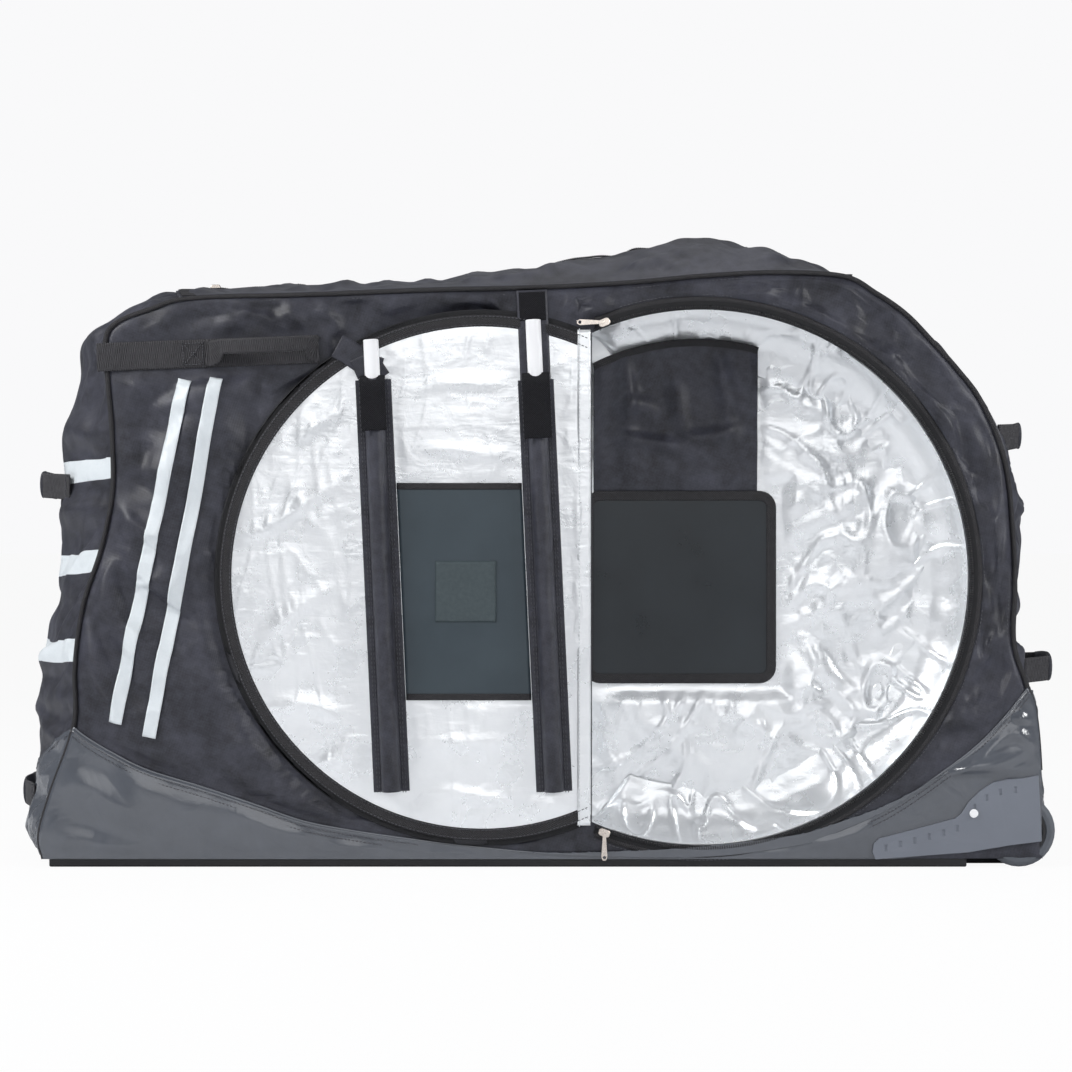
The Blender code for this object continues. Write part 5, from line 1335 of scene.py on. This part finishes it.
def openingArc(radius):
    # an arc round the opening's centre, both ends 4 mm to the right of the hinge edge
    notch = math.acos((opening["hingeX"] + 0.004 - opening["x"]) / radius)
    turn = np.linspace(-notch, notch, 420)
    return np.stack([opening["x"] + radius * np.cos(turn), opening["z"] + radius * np.sin(turn)], -1)


def makeZipTracks():
    for side, place in sides:
        shift = -1 if side == "near" else 1
        tape = place(withDepth(openingArc(zipRound["tape"]), -zipRound["tapeDepth"]))
        piece = makeBar(side + "_zip_tape", tape, flatBand(0.0125, 0.0016), (0, 1, 0), zipTape)
        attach(piece, "bag")
        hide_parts(side + "_zip_track")
        row = place(withDepth(openingArc(zipRound["teeth"]), -zipRound["teethDepth"]))
        line = evenly(row, zipRound["pitch"])
        tangent, _, raised = frames(line, (0, 1, 0))
        shape, faces = toothShape(0.0019, 0.0044, 0.0015)
        teeth = repeated(side + "_zip_teeth", shape, faces, line, tangent, raised * shift, zipTeeth)
        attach(teeth, "bag")
        lip = place(withDepth(openingArc(zipRound["cover"]), -zipRound["coverDepth"]))
        cover = makeBar(side + "_zip_cover", lip, roundBar(0.0035, 0.0016), (0, 1, 0), darkBinding)
        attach(cover, "bag")
        seam = place(withDepth(openingArc(zipRound["stitches"]), -zipRound["stitchDepth"]))
        stitches(side + "_zip_stitches_1", seam, (0, shift, 0), darkThread, "bag")


def makeTopZip():
    # tape and teeth on the crown, carried by the near half of the lid
    crown = lidGrid[:, -1]
    path = crown * [1, 0, 1] + [0, -0.0052, 0.0009]
    tape = makeBar("top_zip_tape", path, flatBand(0.0095, 0.0014), (0, 0, 1), zipTape)
    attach(tape, "near_lid")
    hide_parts("top_zip_chain")
    line = evenly(crown * [1, 0, 1] + [0, -0.0026, 0.0014], 0.0030)
    tangent, _, raised = frames(line, (0, 0, 1))
    shape, faces = toothShape(0.0019, 0.0040, 0.0015)
    teeth = repeated("top_zip_teeth", shape, faces, line, tangent, raised, zipTeeth)
    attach(teeth, "near_lid")
    for side, place in sides:
        row = lidGrid[4:-4, -5]
        stitches(side + "_lid_stitches", place(row + [0, 0, 0.0002]), (0, 0, 1), darkThread, side + "_lid")


makeZipTracks()
makeTopZip()
print("zips made")


# Webbing

def boxStitch(name, centre, across, along, up, size, body):
    # a sewn square with its two diagonals
    w, h = size
    corners = np.array([[-w, -h], [w, -h], [w, h], [-w, h], [-w, -h], [w, h], [w, -h], [-w, h]]) / 2
    path = np.asarray(centre) + corners[:, :1] * across + corners[:, 1:] * along
    for k in range(len(path) - 1):
        if k == 5:
            continue
        stitches(f"{name}_{k}", path[k:k + 2], up, darkThread, body, pitch=0.0042, length=0.0031)


sideGrip = {"start": -0.4415, "width": 0.035, "narrower": 0.0155, "thick": 0.0020, "thicker": 0.0028, "off": 0.026}


def makeStraps():
    slope = math.atan(webbing["slope"])
    alongV = np.array([math.cos(slope), 0, math.sin(slope)])
    acrossV = np.array([-math.sin(slope), 0, math.cos(slope)])
    start = np.array([webbing["left"], -0.1815, webbing["z"]])
    reach = (webbing["right"] - webbing["left"]) / math.cos(slope)
    s = np.linspace(0.0, reach, 120)
    wave = 0.0005 * np.sin(s * 90)
    flatPath = start + alongV * s[:, None] - np.array([0, 1, 0]) * wave[:, None]
    # the grip stands off in an arch after the sewn patch
    u = np.linspace(0, 1, 110)
    arch = np.sin(np.clip(u * 1.06 - 0.03, 0, 1) * math.pi) ** 0.8
    sGrip = (sideGrip["start"] - webbing["left"]) / math.cos(slope)
    sg = sGrip + (reach - sGrip) * u
    folded = smoothstep(u, 0.03, 0.16) * smoothstep(-u, -0.99, -0.88)
    gripPath = start + alongV * sg[:, None] + np.array([0, -1, 0]) * (0.0026 + sideGrip["off"] * arch)[:, None]
    gripPath = gripPath + acrossV * (0.0085 * folded - 0.003 * np.sin(u * math.pi))[:, None]
    band = flatBand(1.0, 1.0, 15)
    # halfway it is folded narrower and thicker
    width = sideGrip["width"] - sideGrip["narrower"] * folded
    thick = sideGrip["thick"] + sideGrip["thicker"] * folded
    _, across, raised = frames(gripPath, (0, 1, 0))
    gripGrid = (gripPath[:, None] + band[None, :, :1] * width[:, None, None] * across[:, None]
                + band[None, :, 1:] * thick[:, None, None] * raised[:, None])
    for side, place in sides:
        strip = makeBar(side + "_strap_webbing", place(flatPath), flatBand(webbing["width"], 0.0018, 15),
                        (0, 1, 0), blackWebbing)
        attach(strip, "bag")
        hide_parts(side + "_side_strip")
        grip = makePiece(side + "_grip_webbing", place(gripGrid), blackWebbing, aroundU=True, caps=True)
        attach(grip, "bag")
        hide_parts(side + "_side_grip")
        centre = start + alongV * (sGrip - 0.018) - [0, 0.0012, 0]
        flip = np.array([1, 1, 1]) if side == "near" else np.array([1, -1, 1])
        out = (0, -1, 0) if side == "near" else (0, 1, 0)
        boxStitch(side + "_strap_box", centre * flip, alongV, acrossV, out, (0.026, 0.028), "bag")


# which end, height, and how far the webbing stands off at rest
endGrips = {"left_upper": (-1, 0.504, 0.027), "left_lower": (-1, 0.087, 0.009),
            "right_upper": (1, 0.571, 0.034), "right_lower": (1, 0.255, 0.038)}


endStrap = {"half": 0.098, "width": 0.034, "thick": 0.0021, "sheathHalf": 0.050, "boxAt": 0.090}


def endSurfaceX(sign, z, y):
    # the x where the settled shell stands at a height, for each depth y, smoothed over 20 mm
    shell, _ = ends["left" if sign < 0 else "right"]
    column = np.clip(np.searchsorted(shell[shell.shape[0] // 2, :, 1], y), 0, shell.shape[1] - 1)
    x = np.array([np.interp(z, shell[::-sign, k, 2], shell[::-sign, k, 0]) for k in np.atleast_1d(column)])
    if len(x) < 15:
        return x
    return np.convolve(np.pad(x, 7, mode="edge"), np.ones(15) / 15, mode="valid")


def makeEndGrips():
    for name, (sign, z, rise) in endGrips.items():
        y = np.linspace(-endStrap["half"], endStrap["half"], 130)
        u = np.abs(y) / endStrap["half"]
        arch = (1 - smoothstep(u, 0.45, 0.86)) * rise + 0.0022
        x = endSurfaceX(sign, z, y) + sign * arch
        path = np.stack([x, y, np.full_like(y, z) + 0.003 * np.cos(y * 30)], -1)
        path = evenly(path, count=130)
        band = flatBand(endStrap["width"], endStrap["thick"], 15)
        strap = makeBar(name + "_grip_webbing", path, band, (sign, 0, 0), blackWebbing)
        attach(strap, "bag")
        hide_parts(name + "_grip")
        pad = path[np.abs(path[:, 1]) < endStrap["sheathHalf"]]
        sheath = makeBar(name + "_grip_sheath", pad, roundBar(0.0178, 0.0040, 18), (sign, 0, 0), blackNylon)
        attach(sheath, "bag")
        for end in (-1, 1):
            centreY = end * endStrap["boxAt"]
            centre = np.array([np.interp(centreY, path[:, 1], path[:, 0]) + sign * 0.0012, centreY, z])
            boxStitch(f"{name}_box_{'near' if end < 0 else 'far'}", centre, np.array([0, 1.0, 0]),
                      np.array([0, 0, 1.0]), (sign, 0, 0), (0.014, 0.026), "bag")


makeStraps()
makeEndGrips()
print("webbing made")


# Reflective stripes on the left of each side panel

# each stripe's upper and lower end, x and z
stripes = {"width": 0.018, "lift": 0.0023,
           "lines": [((-0.470, 0.640), (-0.560, 0.190)), ((-0.428, 0.642), (-0.515, 0.172))]}


def makeStripes():
    for number, (high, low) in enumerate(stripes["lines"], 1):
        line = evenly(np.array([high, low], float), count=170)
        across = np.linspace(-0.5, 0.5, 9) * stripes["width"]
        run = line[-1] - line[0]
        side = np.array([-run[1], run[0]]) / np.linalg.norm(run)
        plane = line[:, None] + across[None, :, None] * side
        x, z = plane[..., 0], plane[..., 1]
        grid = laidOn(np.stack([x, np.full_like(x, -0.21), z], -1), panels["near"], stripes["lift"])
        for sideName, place in sides:
            piece = makePiece(f"{sideName}_stripe_{number}", place(grid), [reflectiveTape], thick=0.0005,
                              away=(0, 0, 0.4))
            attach(piece, "bag")


makeStripes()
print("stripes made")


# Hard parts: the CAD shapes with their edges eased

easing = {"segments": 2, "degrees": 34}


def eased(node, width, material, body):
    # a merged copy of the node, flat faces joined up, edges bevelled
    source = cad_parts[node]
    mesh = source.data.copy()
    mesh.name = node + "_eased"
    work = bmesh.new()
    work.from_mesh(mesh)
    bmesh.ops.remove_doubles(work, verts=work.verts, dist=1e-5)
    bmesh.ops.dissolve_limit(work, angle_limit=math.radians(0.6), verts=work.verts, edges=work.edges)
    work.to_mesh(mesh)
    work.free()
    mesh.materials.clear()
    mesh.materials.append(material)
    mesh.polygons.foreach_set("use_smooth", np.ones(len(mesh.polygons), bool))
    mesh.set_sharp_from_angle(angle=math.radians(easing["degrees"]))
    piece = bpy.data.objects.new(node + "_eased", mesh)
    bpy.context.scene.collection.objects.link(piece)
    bevel = piece.modifiers.new("ease", "BEVEL")
    bevel.width, bevel.segments, bevel.limit_method = width, easing["segments"], "ANGLE"
    bevel.angle_limit = math.radians(easing["degrees"])
    bevel.use_clamp_overlap = True
    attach(piece, body)
    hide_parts(node)
    return piece


def carried(node, material):
    # the node's own mesh, kept and given a material
    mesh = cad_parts[node].data
    mesh.materials.clear()
    mesh.materials.append(material)


for sideName in ("near", "far"):
    eased(sideName + "_housing", 0.0010, greyPlastic, "bag")
    eased(sideName + "_rivet", 0.0005, whitePipe, "bag")
    eased(sideName + "_roller_hub", 0.0005, blackPlastic, sideName + "_roller")
    eased(sideName + "_roller_tyre", 0.0012, rollerRubber, sideName + "_roller")
    carried(sideName + "_roller_axle", platedZinc)
    eased(sideName + "_hub_plate", 0.0006, hubPlate, "bag")
    eased(sideName + "_rod_left", 0.0010, whitePipe, sideName + "_left_rod")
    eased(sideName + "_rod_right", 0.0010, whitePipe, sideName + "_right_rod")
    eased(sideName + "_slider_top", 0.0005, platedZinc, sideName + "_upper_slider")
    eased(sideName + "_slider_bottom", 0.0005, platedZinc, sideName + "_lower_slider")
eased("near_pull_top", 0.0003, platedZinc, "near_upper_pull")
eased("near_pull_bottom", 0.0003, platedZinc, "near_lower_pull")
eased("top_slider", 0.0005, platedZinc, "lid_slider")
eased("base_tray", 0.0020, blackPlastic, "bag")
carried("floor_board", blackPlastic)
print("hard parts made")


# Stage, light and camera

stage = {"floor": "f4f5f7", "glow": 0.93, "reach": 60, "backdrop": "f9f9fa", "room": "c9cdd4", "roomLight": 0.36}


def makeStage():
    # a flat floor, z = 0, that reaches far enough to look endless from every side
    across = np.linspace(-stage["reach"], stage["reach"], 12)
    x, y = np.meshgrid(across, across)
    grid = np.stack([x, y, np.zeros_like(x)], -1)
    material, tree, surface = newMaterial("painted_studio_floor", {"Roughness": 0.6, "Specular IOR Level": 0.2})
    surface.inputs["Base Color"].default_value = linear(stage["floor"])
    path = addNode(tree, "LightPath")
    glow = addNode(tree, "Emission", {"Color": (1, 1, 1, 1), "Strength": 1.0})
    share = maths(tree, "MULTIPLY", path.outputs["Is Camera Ray"], stage["glow"])
    both = addNode(tree, "MixShader", links={0: share, 1: surface.outputs[0], 2: glow.outputs[0]})
    tree.links.new(both.outputs[0], tree.nodes["Material Output"].inputs["Surface"])
    floor = makePiece("studio_floor", grid, material, away=(0, 4, -3))


# where each lamp stands, the point that it looks at, its side and its power
lamps = {"key_softbox": ((-2.4, -1.3, 2.2), (0, 0, 0.4), 1.0, 67),
         "fill_softbox": ((2.5, -1.3, 1.5), (0.1, 0, 0.4), 0.9, 38),
         "front_softbox": ((0.2, -6.0, 2.4), (0, 0, 0.4), 3.6, 60),
         "top_softbox": ((0.2, 0.3, 2.6), (0, 0, 0.4), 1.8, 10)}


def makeLights():
    world = bpy.data.worlds.new("studio_room")
    bpy.context.scene.world = world
    world.use_nodes = True
    tree = world.node_tree
    back = tree.nodes["Background"]
    back.inputs["Color"].default_value = linear(stage["room"])
    back.inputs["Strength"].default_value = stage["roomLight"]
    white = addNode(tree, "Background", {"Color": linear(stage["backdrop"]), "Strength": 1.0})
    path = addNode(tree, "LightPath")
    both = addNode(tree, "MixShader", links={0: path.outputs["Is Camera Ray"], 1: back.outputs[0],
                                             2: white.outputs[0]})
    tree.links.new(both.outputs[0], tree.nodes["World Output"].inputs["Surface"])
    for name, (place, aim, size, power) in lamps.items():
        lamp = bpy.data.lights.new(name, "AREA")
        lamp.shape, lamp.size, lamp.energy = "SQUARE", size, power
        holder = bpy.data.objects.new(name, lamp)
        holder.location = place
        heading = np.array(aim, float) - place
        holder.rotation_euler = (math.atan2(np.hypot(heading[0], heading[1]), -heading[2]), 0,
                                 math.atan2(heading[1], heading[0]) - math.pi / 2)
        bpy.context.scene.collection.objects.link(holder)


photoCamera = {"lensMm": 84, "sensorMm": 36, "place": (-0.0098, -3.4616, 0.435)}


def makeCamera():
    camera = bpy.data.cameras.new("photo_camera")
    camera.lens, camera.sensor_width = photoCamera["lensMm"], photoCamera["sensorMm"]
    holder = bpy.data.objects.new("photo_camera", camera)
    holder.location = photoCamera["place"]
    holder.rotation_euler = (math.pi / 2, 0, 0)
    bpy.context.scene.collection.objects.link(holder)
    bpy.context.scene.camera = holder


makeStage()
makeLights()
makeCamera()
bpy.context.scene.view_settings.view_transform = "Standard"
print("stage, lights and camera made")
